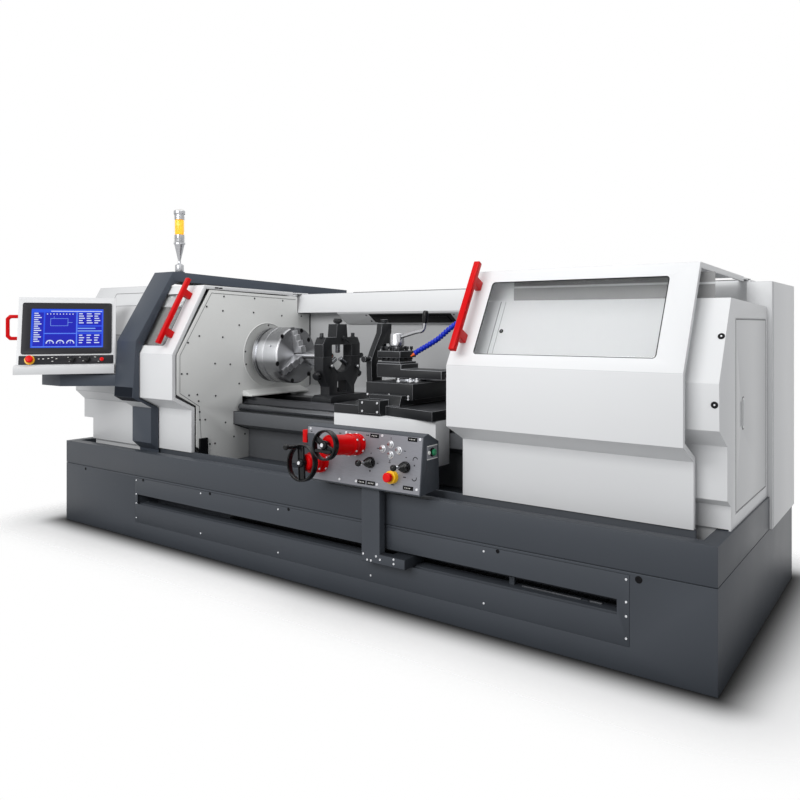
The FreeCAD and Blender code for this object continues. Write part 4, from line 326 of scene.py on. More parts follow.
paneGlass = glassMaterial("paneGlass", (0.975, 0.98, 0.98, 1), 0.01)
beaconGlass = glassMaterial("beaconGlass", (0.93, 0.93, 0.92, 1), 0.04, 1.08)
beaconAmber = glowMaterial("beaconAmber", (252, 178, 46), 0.75)
screenBlue = glowMaterial("screenBlue", (38, 84, 236), 0.95, True)
screenNavy = glowMaterial("screenNavy", (16, 26, 190), 0.9, True)
screenWhite = glowMaterial("screenWhite", (216, 228, 255), 0.95, True)
screenCyan = glowMaterial("screenCyan", (132, 176, 255), 0.95, True)
print("finishes built")


def finishPiece(name, mesh, material, body, angle):
    piece = addObject(name, mesh)
    for entry in material if isinstance(material, list) else [material]:
        mesh.materials.append(entry)
    mesh.polygons.foreach_set("use_smooth", [True] * len(mesh.polygons))
    mesh.set_sharp_from_angle(angle=math.radians(angle))
    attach(piece, body)
    return piece


def dress(name, material, width, choose=None, edge=None):
    # the part's own solid, merged and with its edges broken as the maker files or folds them
    source = nodes[name]
    bm = bmesh.new()
    bm.from_mesh(source.data)
    bmesh.ops.remove_doubles(bm, verts=bm.verts, dist=0.00002)
    bmesh.ops.dissolve_limit(bm, angle_limit=math.radians(0.6), verts=bm.verts, edges=bm.edges)
    sharp = [side for side in bm.edges
        if len(side.link_faces) == 2 and side.calc_face_angle(0) > math.radians(28)]
    broken = bmesh.ops.bevel(bm, geom=sharp, offset=width / 1000, offset_type="OFFSET", affect="EDGES", segments=2,
        profile=0.5, material=-1, clamp_overlap=True)
    if choose:
        for face in bm.faces:
            face.material_index = choose(face.calc_center_median())
    # the broken edges can take a second colour, which paints light on them: a painted highlight or a painted shade
    if edge:
        material = [*material, edge] if isinstance(material, list) else [material, edge]
        for face in broken["faces"]:
            face.material_index = len(material) - 1
    finished = name + "Finish"
    piece = finishPiece(finished, meshOf(finished, bm), material, source["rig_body"], angle=30)
    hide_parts(name)
    return piece


# metres and watts: each lamp's place, aim, size and power; the floor fades out between near and far
studio = {"floor": (0.9, 0.9, 0.9, 1), "world": 0.44, "near": 0, "far": 0.55,
          "lamps": {"keyLamp": ((0.2, -6.2, 3.6), (0, 0, 0.8), (5.0, 2.8), 266),
                    "fillLamp": ((5.0, -1.5, 3.0), (0.5, 0, 0.7), (3.0, 2.5), 12),
                    "topLamp": ((0.6, 0.2, 5.0), (0, 0, 0.8), (5.0, 2.5), 100)}}


def setWorld():
    # a plain light, and white wherever the camera, a mirror or a pane sees past the machine
    world = bpy.data.worlds.new("studioWorld")
    scene.world = world
    world.use_nodes = True
    tree = world.node_tree
    back = tune(tree.nodes["Background"], in_Color=(0.93, 0.94, 0.96, 1), in_Strength=studio["world"])
    white = node(tree, "Background", in_Color=(1, 1, 1, 1))
    rays = node(tree, "LightPath")
    seen = node(tree, "Math MAXIMUM")
    mirrored = node(tree, "Math MAXIMUM")
    straight = node(tree, "Math LESS_THAN", in_1=0.5)
    shown = node(tree, "Math MULTIPLY")
    mix = node(tree, "MixShader")
    wire(tree, (rays, "Diffuse Depth", straight, 0), (rays, "Is Camera Ray", seen, 0),
        (rays, "Is Transmission Ray", seen, 1), (seen, 0, mirrored, 0), (rays, "Is Glossy Ray", mirrored, 1),
        (mirrored, 0, shown, 0), (straight, 0, shown, 1), (shown, 0, mix, "Fac"), (back, 0, mix, 1),
        (white, 0, mix, 2), (mix, 0, tree.nodes["World Output"], "Surface"))


def floorMaterial():
    # paper with a painted shadow: dark in the joint beneath the base, fading to nothing further out
    made, tree, shader = newMaterial("floorPaper")
    place, tone = cloud(tree, 0.8, 2, 0.55, 0.65)
    tune(shader, in_Specular_IOR_Level=0.1)
    positive = node(tree, "VectorMath ABSOLUTE")
    beyond = node(tree, "VectorMath SUBTRACT", in_1=(1.96, 0.739, 0))
    outside = node(tree, "VectorMath MAXIMUM", in_1=(0, 0, 0))
    away = node(tree, "VectorMath LENGTH")
    # painted shadow: the paper's colour darkens towards the base's outline
    paintedShadow = ranged(tree, -0.02, 0.2, 0, 1, "SMOOTHSTEP")
    tinted = node(tree, "HueSaturation", in_Color=studio["floor"])
    sight = node(tree, "LightPath")
    bounce = ranged(tree, 0, 1, 0.45, 1)
    shaded = node(tree, "Math MULTIPLY")
    fade = ranged(tree, studio["near"], studio["far"], 0, 1, "SMOOTHSTEP")
    clear = node(tree, "BsdfTransparent")
    blend = node(tree, "MixShader")
    wire(tree, (tone, "Result", shader, "Roughness"), (place, "Object", positive, 0), (positive, 0, beyond, 0),
        (beyond, 0, outside, 0), (outside, 0, away, 0),
        (away, "Value", paintedShadow, "Value"), (sight, "Is Camera Ray", bounce, "Value"), (paintedShadow, "Result", shaded, 0),
        (bounce, "Result", shaded, 1), (shaded, 0, tinted, "Value"), (tinted, "Color", shader, "Base Color"),
        (away, "Value", fade, "Value"), (fade, "Result", blend, "Fac"), (shader, "BSDF", blend, 1),
        (clear, "BSDF", blend, 2), (blend, 0, tree.nodes["Material Output"], "Surface"))
    return made


def addFloor():
    bm = bmesh.new()
    bmesh.ops.create_grid(bm, x_segments=1, y_segments=1, size=14)
    bmesh.ops.translate(bm, verts=bm.verts, vec=(0, 0, -0.0006))
    floor = addObject("studioFloor", meshOf("studioFloor", bm))
    floor.data.materials.append(floorMaterial())


def addLamp(name, place, aim, size, power):
    data = bpy.data.lights.new(name, "AREA")
    data.shape = "RECTANGLE"
    data.size, data.size_y = size
    data.energy = power
    lamp = addObject(name, data)
    lamp.location = place
    lamp.rotation_euler = (Vector(aim) - Vector(place)).to_track_quat("-Z", "Y").to_euler()


scene.view_settings.view_transform = "Standard"
setWorld()
addFloor()
for name, lamp in studio["lamps"].items():
    addLamp(name, *lamp)
print("studio set")


# places on the machine: local x and y lie in a face and z stands out of it, all in mm
def placeOf(origin, right, up):
    x = Vector(right).normalized()
    y = Vector(up).normalized()
    basis = Matrix((x, y, x.cross(y))).transposed().to_4x4()
    return Matrix.Translation(at(*origin)) @ basis @ Matrix.Scale(0.001, 4)


def frontOf(depth):
    # an upright sheet that faces the operator
    return placeOf((0, depth, 0), (1, 0, 0), (0, 0, 1))


def endOf(station, height=0):
    # an upright sheet that faces the tailstock's end
    return placeOf((station, 0, height), (0, 1, 0), (0, 0, 1))


def slopePlace(low, high):
    # a folded sheet's face through two corners (depth, height) of its outline, y up the slope and z outwards
    return placeOf((0, low[0], low[1]), (1, 0, 0), (0, high[0] - low[0], high[1] - low[1]))


def facing(spot, toward):
    return Matrix.Translation(spot) @ toward.to_track_quat("Z", "Y").to_matrix().to_4x4() @ Matrix.Scale(0.001, 4)


def axisPlace(spot, toward):
    return facing(at(*spot), Vector(toward))


def upright(x, y, z):
    return axisPlace((x, y, z), (0, 0, 1))


def alongBed(x, y, z):
    return axisPlace((x, y, z), (1, 0, 0))


panel = {"turn": math.radians(55.3), "tilt": math.radians(17.9)}
boxPlace = placeOf((0, -60, 772), (1, 0, 0), (0, 27, 242))
panelTurn = Matrix.Rotation(panel["turn"], 3, "Z")
panelPlace = placeOf((393, -221, 1214), panelTurn @ Vector((1, 0, 0)),
    panelTurn @ Vector((0, math.sin(panel["tilt"]), math.cos(panel["tilt"]))))
doorPlace = placeOf((0, -13, 1070), (1, 0, 0), (0, 0.4942, 0.8693))
lampPlace = placeOf((1960, 1029, 1271.5), (1, 0, 0), (0, -0.8308, 0.5566))


def polar(x, y, reach, degrees):
    return x + reach * math.cos(math.radians(degrees)), y + reach * math.sin(math.radians(degrees))


def addBlock(bm, place, low, high, edge=0, corner=0):
    # edge breaks every edge, corner rounds the four that run along z
    size = [b - a for a, b in zip(low, high)]
    centre = [(a + b) / 2 for a, b in zip(low, high)]
    made = bmesh.ops.create_cube(bm, size=1, matrix=place @ Matrix.Translation(centre) @ Matrix.Diagonal((*size, 1)))
    if edge or corner:
        out = place.to_3x3().col[2].normalized()
        sides = dict.fromkeys(
            side for v in made["verts"] for side in v.link_edges
            if not corner or abs((side.verts[0].co - side.verts[1].co).normalized().dot(out)) > 0.9)
        bmesh.ops.bevel(bm, geom=list(sides), offset=(corner or edge) / 1000, offset_type="OFFSET", affect="EDGES",
            segments=4 if corner else 2, profile=0.5, material=-1)


def addTurned(bm, place, profile, steps=20, spot=(0, 0)):
    # a profile of (radius, height) swept round the local z axis through spot
    cent = place @ Vector((*spot, 0)[:3])
    turn = place.to_3x3()
    made = [bm.verts.new(cent + turn @ Vector((r, 0, z))) for r, z in profile]
    edges = [bm.edges.new(pair) for pair in zip(made, made[1:])]
    bmesh.ops.spin(bm, geom=made + edges, cent=cent, axis=turn.col[2].normalized(), angle=math.tau, steps=steps,
        use_merge=True)


def addScrew(bm, place, spot, r=6, h=3, steps=14):
    addTurned(bm, place, [(0, h * 0.3), (r * 0.45, h * 0.3), (r * 0.5, h), (r * 0.8, h), (r, h * 0.6), (r, -1)],
        steps, spot)


def addHex(bm, place, height, radius, top):
    bmesh.ops.create_cone(bm, cap_ends=True, segments=6, radius1=radius, radius2=radius * 0.96, depth=top,
        matrix=place @ Matrix.Translation((0, 0, height + top / 2)))


def addRibbon(bm, place, first, second, height):
    # flat faces between two lines of points
    for ring in zip(first, first[1:], second[1:], second):
        bm.faces.new([bm.verts.new(place @ Vector((x, y, height))) for x, y in ring])


def addTube(bm, points, radius, sides):
    # a round bar along points (mm), its rings square to the path; radius may be a formula of the length so far
    rings, gone = [], 0
    spots = [at(*p) for p in points]
    for index, spot in enumerate(spots):
        gone += (spot - spots[max(index - 1, 0)]).length * 1000
        reach = (radius(gone) if callable(radius) else radius) / 1000
        along = (spots[min(index + 1, len(spots) - 1)] - spots[max(index - 1, 0)]).normalized()
        side = along.cross(Vector((0, 0, 1)))
        if side.length < 0.1:
            side = along.cross(Vector((0, 1, 0)))
        side.normalize()
        over = side.cross(along)
        rings.append([bm.verts.new(spot + (side * math.cos(a) + over * math.sin(a)) * reach)
                for a in (math.tau * k / sides for k in range(sides))])
    joinRings(bm, rings)
    bm.faces.new(rings[0])
    bm.faces.new(rings[-1])


def joinRings(bm, rings):
    for first, second in zip(rings, rings[1:]):
        for k in range(len(first)):
            bm.faces.new((first[k - 1], first[k], second[k], second[k - 1]))


def addFrame(bm, place, area, corner, width, low, high):
    # a flat ring with rounded corners, lying inside the rectangle that it follows
    x0, y0, x1, y1 = area
    corners = ((x1 - corner, y1 - corner, 0), (x0 + corner, y1 - corner, 90),
        (x0 + corner, y0 + corner, 180), (x1 - corner, y0 + corner, 270))
    outer, inner = ([polar(x, y, corner - inset, start + 18 * step) for x, y, start in corners for step in range(6)]
        for inset in (0, width))
    joinRings(bm, [[bm.verts.new(place @ Vector((x, y, z))) for x, y in ring]
            for ring, z in ((outer, low), (outer, high), (inner, high), (inner, low))])


def smoothPath(path, pieces):
    # a curve through the points, in that many pieces from each to the next
    ends = [path[0], *path, path[-1]]
    result = []
    for near in zip(ends, ends[1:], ends[2:], ends[3:]):
        for t in (count / pieces for count in range(pieces)):
            result.append(tuple(0.5 * (2 * q + (r - p) * t + (2 * p - 5 * q + 4 * r - s) * t * t
                    + (3 * q - p - 3 * r + s) * t ** 3) for p, q, r, s in zip(*near)))
    return result + [path[-1]]


def build(name, material, body, *forms, angle=35):
    # a piece of forms, each a function and what it takes after the mesh
    bm = bmesh.new()
    for shape, *values in forms:
        shape(bm, *values)
    bmesh.ops.remove_doubles(bm, verts=bm.verts, dist=0.00001)
    bmesh.ops.recalc_face_normals(bm, faces=bm.faces)
    return finishPiece(name, meshOf(name, bm), material, body, angle)


def plateSet(name, place, material, low, high, *plates, body="machine", corner=0):
    build(name, material, body, *((addBlock, place, (x0, y0, low), (x1, y1, high), 0, corner)
            for x0, y0, x1, y1 in plates))


def turnedSet(name, place, profile, material, body="machine", steps=20, spots=((0, 0),)):
    return build(name, material, body, *((addTurned, place, profile, steps, spot) for spot in spots))


def screwSet(name, place, spots, material, radius, height, steps=14, body="machine"):
    build(name, material, body, *((addScrew, place, spot, radius, height, steps) for spot in spots))


# the part's own solids: width in mm of the broken edges, finish and names
solids = [
    (3, slatePaint, "base_box", "chip_tray"), (0.6, slatePaint, "slot_plate"), (4, slateArch, "arch_frame"),
    (3, slateArch, "panel_arm"), (0.6, slideSteel, "ball_screw"), (0.6, castPaint, "headstock_housing"),
    (4, coverPaint, "headstock_cover"), (3, wallPaint, "chuck_wall"), (3, whitePaint, "rear_beam"),
    (1.5, whitePaint, "rear_cabinet"), (0.6, coverPaint, "cabinet_door"), (2.5, whitePaint, "right_guard"),
    (0.6, coverPaint, "side_door"), (2.5, whitePaint, "left_door", "right_door"),
    (0.6, paneGlass, "left_window", "right_window"), (3, redPaint, "left_door_handle", "right_door_handle"),
    (4, redPaint, "panel_handle"), (0.6, slideSteel, "spindle"), (1.2, turnedSteel, "chuck_body"),
    (0.6, turnedSteel, "work_bar"), (0.6, chuckSteel, "jaw_1", "jaw_2", "jaw_3"), (2.5, castPaint, "steady_base"),
    (2, castPaint, "steady_cap"), (2, whitePaint, "apron_guard"), (2, castPaint, "follow_rest", "top_slide"),
    (1.5, castPaint, "tool_post"), (3, castPaint, "tailstock"), (0.6, brightSteel, "quill"),
    (0.6, blackPlastic, "tailstock_wheel"), (0.6, redPlastic, "box_stop"), (0.6, greenPlastic, "start_button"),
    (0.6, redPlastic, "panel_stop"), (0.6, blackPlastic, "panel_knob_left", "panel_knob_right", "drag_chain")]
# broken edges of castings get a painted highlight, those of white sheets a painted shade
paintedEdgeLight = {castPaint: castEdgeHighlight, whitePaint: sheetEdgeShade, coverPaint: sheetEdgeShade}
for width, material, *names in solids:
    for name in names:
        dress(name, material, width, edge=paintedEdgeLight.get(material))

# the control box's face, x along it from the base's end and depth down it from its top edge
box = {"wheels": ((2440, 62), (2236, 160)), "stops": ((2644, 180),), "sticks": ((2520, 132), (2705, 132)),
       "keys": ((2621, 46), (2580, 68), (2665, 67), (2624, 89)), "arrow": 2752,
       "labels": [(2508, 9, 2556, 26), (2708, 7, 2756, 24), (2454, 211, 2499, 229), (2505, 211, 2551, 229),
                  (2698, 208, 2750, 225)],
       "screws": [(2159, 15), (2372, 16), (2573, 13), (2770, 12), (2352, 223), (2447, 220), (2562, 221), (2768, 217)]}
# the panel's face: its buttons (slot, x, y, reach) and the half sizes of its other fields
face = {"buttons": ((2, 187, -190, 12), (3, -193, -190, 28.5)), "screen": (192, 117), "bezel": (241, 156),
        "strip": (251, 27), "stripDown": 190}
dial = {"x": 2262, "y": 640, "radius": 107.8, "top": 953.6, "first": -168, "step": 4, "count": 46}
toBox = boxPlace.inverted()
toPanel = panelPlace.inverted()
toLamp = lampPlace.inverted()


def chooseBox(centre):
    x, y, z = toBox @ centre
    if x < 2137 and z < 4:
        return 1
    for slot, kind, reach, lowest in ((1, "wheels", 52, 0.4), (2, "stops", 29, 0.4), (3, "keys", 14, 0.4),
            (4, "sticks", 26, -999)):
        if z > lowest and any(math.hypot(x - a, y + b) < reach for a, b in box[kind]):
            return slot
    return 5 if x > 2787.5 else 0


def choosePanel(centre):
    x, y, z = toPanel @ centre

    def inside(field, down=0):
        return abs(x) < face[field][0] and abs(y + down) < face[field][1]

    for slot, a, b, reach in face["buttons"]:
        if z > 4.2 and math.hypot(x - a, y - b) < reach:
            return slot
    if inside("screen") and 1 < z < 3.5:
        return 4
    return int(z > 0.3 and (inside("bezel") or inside("strip", face["stripDown"])))


def chooseLamp(centre):
    x, y, z = toLamp @ centre
    return int(abs(x) < 271 and abs(y) < 33 and z > 0.5 and centre.z > 1.2)


def chooseDial(centre):
    return int(0.9425 < centre.z < 0.9535 and (centre.xy - at(dial["x"], dial["y"], 0).xy).length < 0.1085)


dress("control_box", [slatePaint, redPaint, yellowPlastic, brightSteel, blackPlastic, platePaint], 1.2, chooseBox)
dress("panel_housing", [coverPaint, bezelGrey, redPlastic, yellowPlastic, screenBlue], 1.5, choosePanel)
dress("bed", [bedPaint, waySteel], 2.5, lambda centre: int(centre.z > 0.716 and centre.y < 0.16))
dress("carrier_arm", [slatePaint, pocketSlate], 2.5, lambda centre: int(centre.x > 0.59 and centre.z < 0.3))
dress("saddle", castPaint, 2.5, edge=castEdgeHighlight)
dress("back_panel", [backShadePaint, labelBlack], 1, chooseLamp)
dress("cross_slide", [castPaint, slideSteel], 2, chooseDial, castEdgeHighlight)
for index in (1, 2, 3):
    dress(f"steady_finger_{index}", [castPaint, slideSteel], 0.8,
        lambda centre: int((centre - at(1667, *spindleAxis)).length < 0.19))
dress("beacon", [brightSteel, beaconGlass], 0.8, lambda centre: int(centre.z > 1.7285))
print("solids dressed")

# operator panel: picture on the screen (heights of its layers), legends and rings
screen = {"glass": 2.1, "rows": 2.3, "lines": 2.5, "top": 2.55}
plateSet("screenFields", panelPlace, screenNavy, screen["glass"], screen["rows"], (-182, -108, -128, 96),
    (-120, -28, 44, 96), (54, 18, 184, 96), (54, -26, 184, 10), (-120, -108, 44, -36), (54, -108, 184, -34),
    body="panel")
rowsLeft = [(-178, 88 - 13 * k, -156 + 8.5 * (k * 7 % 3), 94 - 13 * k) for k in range(14)]
rowsRight = [(60 + 42 * c, 86 - 14 * k, 80 + 42 * c + 6 * ((k + c) % 3), 92 - 14 * k)
    for k in range(5) for c in range(3)]
rowsLow = [(62 + 41 * c, -46 - 15 * k, 80 + 41 * c + 5 * ((k * 2 + c) % 3), -40 - 15 * k)
    for k in range(4) for c in range(3)]
ticks = [(-112 + 17 * k, 84, -106 + 17 * k, 90) for k in range(9)]
plateSet("screenRows", panelPlace, screenWhite, screen["rows"], screen["lines"], *rowsLeft, *rowsRight, *rowsLow,
    *ticks, (-90, 102, 186, 106), body="panel")
plateSet("screenLines", panelPlace, screenCyan, screen["rows"], screen["top"], (-92, 58, 2, 60), (-92, 14, 2, 16),
    (-92, 14, -90, 60), (0, 14, 2, 60), (2, 34, 26, 36), (-74, 62, -72, 72), (-186, -112, 188, -110),
    (48, -110, 50, 100), (-124, -32, 46, -30), (54, -20, 184, -14), (54, -4, 150, 2), body="panel")
dials = (-92, -38, 16)
build("screenDials", screenWhite, "panel",
    *((addRibbon, panelPlace, [polar(x, -92, 22, 15 * k) for k in range(13)],
        [polar(x, -92, 17 if k % 3 else 14, 15 * k) for k in range(13)], screen["top"]) for x in dials),
    *((addBlock, panelPlace, (x - 1, -92, screen["rows"]), (x + 1, -76, screen["top"])) for x in dials))
plateSet("panelLegends", panelPlace, labelWhite, 4.9, 5.25, (-150, -186, -142, -182), (-128, -186, -118, -182),
    (-100, -184, -92, -180), (-82, -178, -72, -175), (-80, -200, -70, -197), (-58, -186, -50, -182),
    (4, -178, 10, -175), (66, -178, 74, -175), (84, -200, 90, -197), (146, -178, 156, -175),
    (12, -204, 20, -201), (166, -204, 172, -201), body="panel")
screwSet("bezelScrews", panelPlace, [(x, y, 5) for x in (-228, 228) for y in (-143, 143)], screwBlack, 3, 0.8, 10,
    "panel")
turnedSet("knobRings", panelPlace, [(15.6, -0.5), (19, -0.5), (19, 1.2), (15.6, 1.6)], blackPlastic, "panel", 28,
    [(30, -190, 5), (108, -190, 5)])
print("operator panel finished")

# control box on the carriage
plateSet("facePlate", boxPlace, platePaint, -0.5, 0.5, (2185, -238, 2782, -5), body="carrier")
plateSet("facePlateSide", boxPlace, platePaint, -0.5, 0.5, (2142, -36, 2186, -5), body="carrier")
plateSet("boxLabels", boxPlace, labelBlack, 0.4, 1.0, *((a, -d, c, -b) for a, b, c, d in box["labels"]),
    body="carrier")
plateSet("labelStrokes", boxPlace, labelWhite, 0.9, 1.15,
    *((a + 9 + 8 * k, -d + 6.5, a + 12 + 8 * k, -b - 6.5) for a, b, c, d in box["labels"] for k in range(4)),
    body="carrier")
plateSet("boxMarks", boxPlace, labelBlack, 0.4, 0.8, (2484, -19, 2500, -16), (2496, -21, 2499, -14),
    (2618, -20, 2624, -17), (2619, -26, 2623, -24), (2548, -70, 2560, -67), (2690, -68, 2702, -65),
    (2619, -118, 2623, -112), (2616, -124, 2626, -121), (2517, -96, 2521, -90), (2516, -172, 2522, -164),
    (2482, -133, 2490, -130), (2552, -133, 2562, -130), (2702, -94, 2708, -90), (2696, -176, 2710, -172),
    (2746, -124, 2752, -118), (2636, -214, 2652, -210), (2330, -24, 2344, -20), (2160, -30, 2170, -26),
    body="carrier")
build("turnArrows", labelBlack, "carrier",
    *((addRibbon, boxPlace, *([polar(box["arrow"], y, reach, start + 20 * k) for k in range(10)]
        for reach in (13, 9.5)), 0.8) for y, start in ((-98, 20), (-172, 200))))
build("boxScrews", screwZinc, "carrier", *((addScrew, boxPlace, (x, -down, 0.4)) for x, down in box["screws"]),
    *((addTurned, boxPlace, [(12.3, 0), (16, 0), (16, 2.4), (14.4, 4), (12.3, 4)], 24, (x, -down))
        for x, down in box["keys"]))
build("barrelScrews", screwZinc, "carrier",
    *((addScrew, facing(boxPlace @ Vector((*polar(x, -down, 47, turn), high)),
        boxPlace.to_3x3() @ Vector((*polar(0, 0, 1, turn), 0))), (0, 0), 5, 3, 12)
        for x, down in box["wheels"] for high in (11, 55) for turn in range(30, 360, 60)))
for label, (x, down) in zip(("joystick_left", "joystick_right"), box["sticks"]):
    stick = boxPlace @ Matrix.Translation((x, -down, 0))
    ribs = [(0, -9.5), (1.4, -9.5), (6, -2), (10, 4), (11, 13), (18, 20)]
    for k in range(4):
        wide, high = 20 - 2.7 * k, 22 + 6.4 * k
        ribs += [(wide, high), (wide, high + 1.6), (wide - 3.6, high + 3.4), (wide - 3.6, high + 4.8)]
    boot = build(label + "Boot", blackPlastic, label, (addTurned, stick, ribs + [(5.2, 48), (5, 48)], 28), angle=50)
    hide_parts(label)
    turnedSet(label + "Rod", stick, [(6, 44), (6, 58), (8.4, 59), (8.4, 65), (5.4, 66), (5.4, 70), (7, 71), (7, 74),
            (5, 75), (5, 80)], brightSteel, label)
    ball = [polar(0, 87, 14, a) for a in range(-70, 91, 16)]
    turnedSet(label + "Ball", stick, [(0, ball[0][1])] + ball + [(0, 101)], blackPlastic, label, 26)
startPlace = endOf(2789, 702)
plateSet("startPlateFrame", startPlace, labelWhite, 0, 0.4, (-39, -29, 39, -26), (-39, 26, 39, 29), body="carrier")
turnedSet("startRing", startPlace, [(14.6, 0), (19, 0), (19, 2), (16, 4), (14.6, 4)], labelBlack, "carrier", 28)
turnedSet("startLamp", startPlace, [(0, 4), (7, 4), (8, 3), (8, 0)], labelWhite, "carrier", 20, [(-25, 0)])
print("control box finished")

# handwheels: deep rims on one broad bar, a folded grip on the upper, the crank's grip on the lower
wheels = {"upper": {"spot": (2440, -62, 200.5), "radius": 64, "turn": -26, "half": 12},
          "lower": {"spot": (2236, -160, 112.5), "radius": 82, "turn": 99, "half": 17}}
for label, wheel in wheels.items():
    place = boxPlace @ Matrix.Translation(wheel["spot"])
    bar = place @ Matrix.Rotation(math.radians(wheel["turn"]), 4, "Z")
    r, half = wheel["radius"], wheel["half"]
    rim = [(-9, 2), (-7, -2), (-2.5, -3.6), (-0.3, -1), (0, 6), (0, 20), (-0.8, 25.5), (-3.5, 28.4), (-6.5, 28),
        (-9, 24.5), (-9.6, 12), (-9, 2)]
    wheelRim = build(
        label + "WheelRim", blackPlastic, label + "_wheel",
        (addTurned, place, [(r + across, z) for across, z in rim], 56),
        (addBlock, bar, (7 - r, -half, 11), (r - 7, half, 19), 1.2),
        (addBlock, bar, (7 - r, -half, 18), (r - 7, 4 - half, 23), 1),
        (addBlock, bar, (7 - r, half - 4, 18), (r - 7, half, 23), 1),
        (addTurned, place, [(0, 0), (17, 0), (19, 6), (19, 24), (14, 33), (12.6, 34), (0, 34)], 32))
    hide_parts(label + "_wheel")
    turnedSet(label + "WheelScrew", place, [(0, 1.6), (2.6, 1.6), (3, 3.6), (7, 3.6), (8, 2.6), (8, -1)], screwZinc,
        label + "_wheel", 20, [(0, 0, 34.1)])
folded = boxPlace @ Matrix.Translation((2396, -87, 222)) @ Matrix.Rotation(math.radians(90), 4, "Y")
turnedSet("foldedGrip", folded, [(0, 0), (5, 0), (7, 2), (8, 20), (8.6, 58), (7.6, 84), (4, 88), (0, 88)],
    blackPlastic, "upper_wheel", 24)
crank = turnedSet("crankHandle", boxPlace @ Matrix.Translation((2204.7, -92.9, 141.4)),
    [(4.5, 0), (7.5, 0), (9, 3), (10, 14), (9, 34), (8.2, 46), (10, 51), (12.4, 56), (13, 60), (12, 66),
        (8, 71), (0, 72)], blackPlastic, "crank_grip", 28)
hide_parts("crank_grip")
print("handwheels finished")

# screws on the fixed sheets
wallScrews = [(351, 1402), (594, 1397), (837, 1389), (223, 1340), (343, 1317), (586, 1310), (829, 1293), (1009, 1292),
    (469, 1233), (712, 1232), (170, 1171), (342, 1162), (91, 1134), (519, 1072), (284, 1009), (399, 1000),
    (525, 994), (48, 961), (85, 960), (469, 881), (98, 838), (156, 838), (289, 821), (165, 800),
    (488, 754), (173, 738), (174, 693), (212, 690), (363, 658), (515, 573), (428, 567), (247, 546),
    (284, 545)]
screwSet("wallScrews", endOf(1085), wallScrews, screwBlack, 5.5, 2.4)
plateSet("wallSwitch", endOf(1085), blackPlastic, 0, 14, (167, 470, 223, 587), corner=4)
plateSet("wallSwitchFace", endOf(1085), labelBlack, 13.5, 15, (175, 520, 215, 579), corner=2)
plateScrews = [(736, 335), (736, 255), (736, 203), (736, 119), (1306, 334), (1306, 120), (1885, 332), (1885, 120),
    (2461, 121), (3035, 330), (3035, 122), (3612, 332), (3612, 252), (3612, 201), (3612, 122)]
screwSet("plateScrews", frontOf(0), plateScrews, screwZinc, 4.6, 2.2)
baseScrews = [(216, 343, 8), (801, 343, 8), (1381, 342, 8), (1956, 342, 8), (3098, 341, 8), (3657, 340, 13)]
build("baseScrews", labelBlack, "machine", *((addScrew, frontOf(0), (x, z, 0.2), r, 1.4) for x, z, r in baseScrews))
footScrews = [(2467, 235), (2489, 212), (2538, 235), (2559, 224), (2632, 238), (2632, 219), (2510, 212)]
screwSet("footScrews", frontOf(-60), footScrews, screwZinc, 5, 2.6, body="carrier")
print("sheet screws finished")

# clamp lever and tool post
post = {"x": 2137, "y": 640, "waist": 1060, "top": 1095, "bolts": (-57, -20, 18, 56)}
lever = {"path": [(30, 0, -20), (124, 0, 5), (160, 0, 11), (176, 0, 25), (182, 0, 54)], "height": 1190, "rod": 9.5}
leverCap = turnedSet("leverCap", upright(post["x"], post["y"], post["top"] + 0.3),
    [(14.6, 0), (31, 0), (32, 1.5), (32, 23), (40, 28.7), (40, 50), (39, 52), (36.8, 88),
        (34, 92.5), (30, 94.7), (0, 94.7)], brightSteel, "clamp_lever", 48)
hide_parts("clamp_lever")
leverPath = [(post["x"] + x, post["y"] + y, lever["height"] + z) for x, y, z in smoothPath(lever["path"], 6)]
build("leverRod", brightSteel, "clamp_lever", (addTube, leverPath, lever["rod"], 18))
turnedSet("leverGrip", axisPlace(leverPath[-1], (6, 0, 66)),
    [(0, 0), (11, 0), (14, 1.5), (15, 6), (16, 20), (15.4, 50), (13.5, 61), (9, 65.5), (0, 66)], blackPlastic,
    "clamp_lever", 28)
bolts = [upright(post["x"] + x, post["y"] + y, post["top"]) for x in post["bolts"] for y in post["bolts"]
    if {x, y} & {post["bolts"][0], post["bolts"][-1]}]
hung = [axisPlace((post["x"] + x, post["y"] + y, post["waist"]), (0, 0, -1))
    for x, y in ((-48, -66), (-14, -66), (20, -66), (50, -66), (66, -40), (66, 6), (66, 44))]
build("postBolts", screwBlack, "tool_post",
    *((addTurned, spot, [(5.6, -1), (5.6, 9), (8.4, 9), (8.4, 11), (0, 11)], 16) for spot in bolts),
    *((addBlock, spot, (-6.6, -6.6, 10.5), (6.6, 6.6, 24), 1.2) for spot in bolts),
    *((addTurned, spot, [(6, -1), (6, 9), (4, 12), (0, 12)], 14) for spot in hung))
print("tool post finished")

# coolant hose, its path measured from the saddle's rear corner
hose = {"path": [(-327, -300, -18), (-311, -294, -5), (-260, -276, 26), (-210, -252, 62), (-160, -210, 118),
                 (-110, -130, 176), (-66, -72, 206), (-50, -50, 200)],
        "corner": (2610, 900, 1102), "pitch": 17.5, "neck": 10.6, "swell": 4.2, "groove": 1.6, "share": 0.86}


def hoseRadius(length):
    # each link swells to a ball and narrows to the neck that grips the next
    share = length / hose["pitch"] % 1
    if share < hose["share"]:
        return hose["neck"] + hose["swell"] * math.sin(math.pi * share) ** 0.6
    return hose["neck"] - hose["groove"] * math.sin((share - hose["share"]) / (1 - hose["share"]) * math.pi)


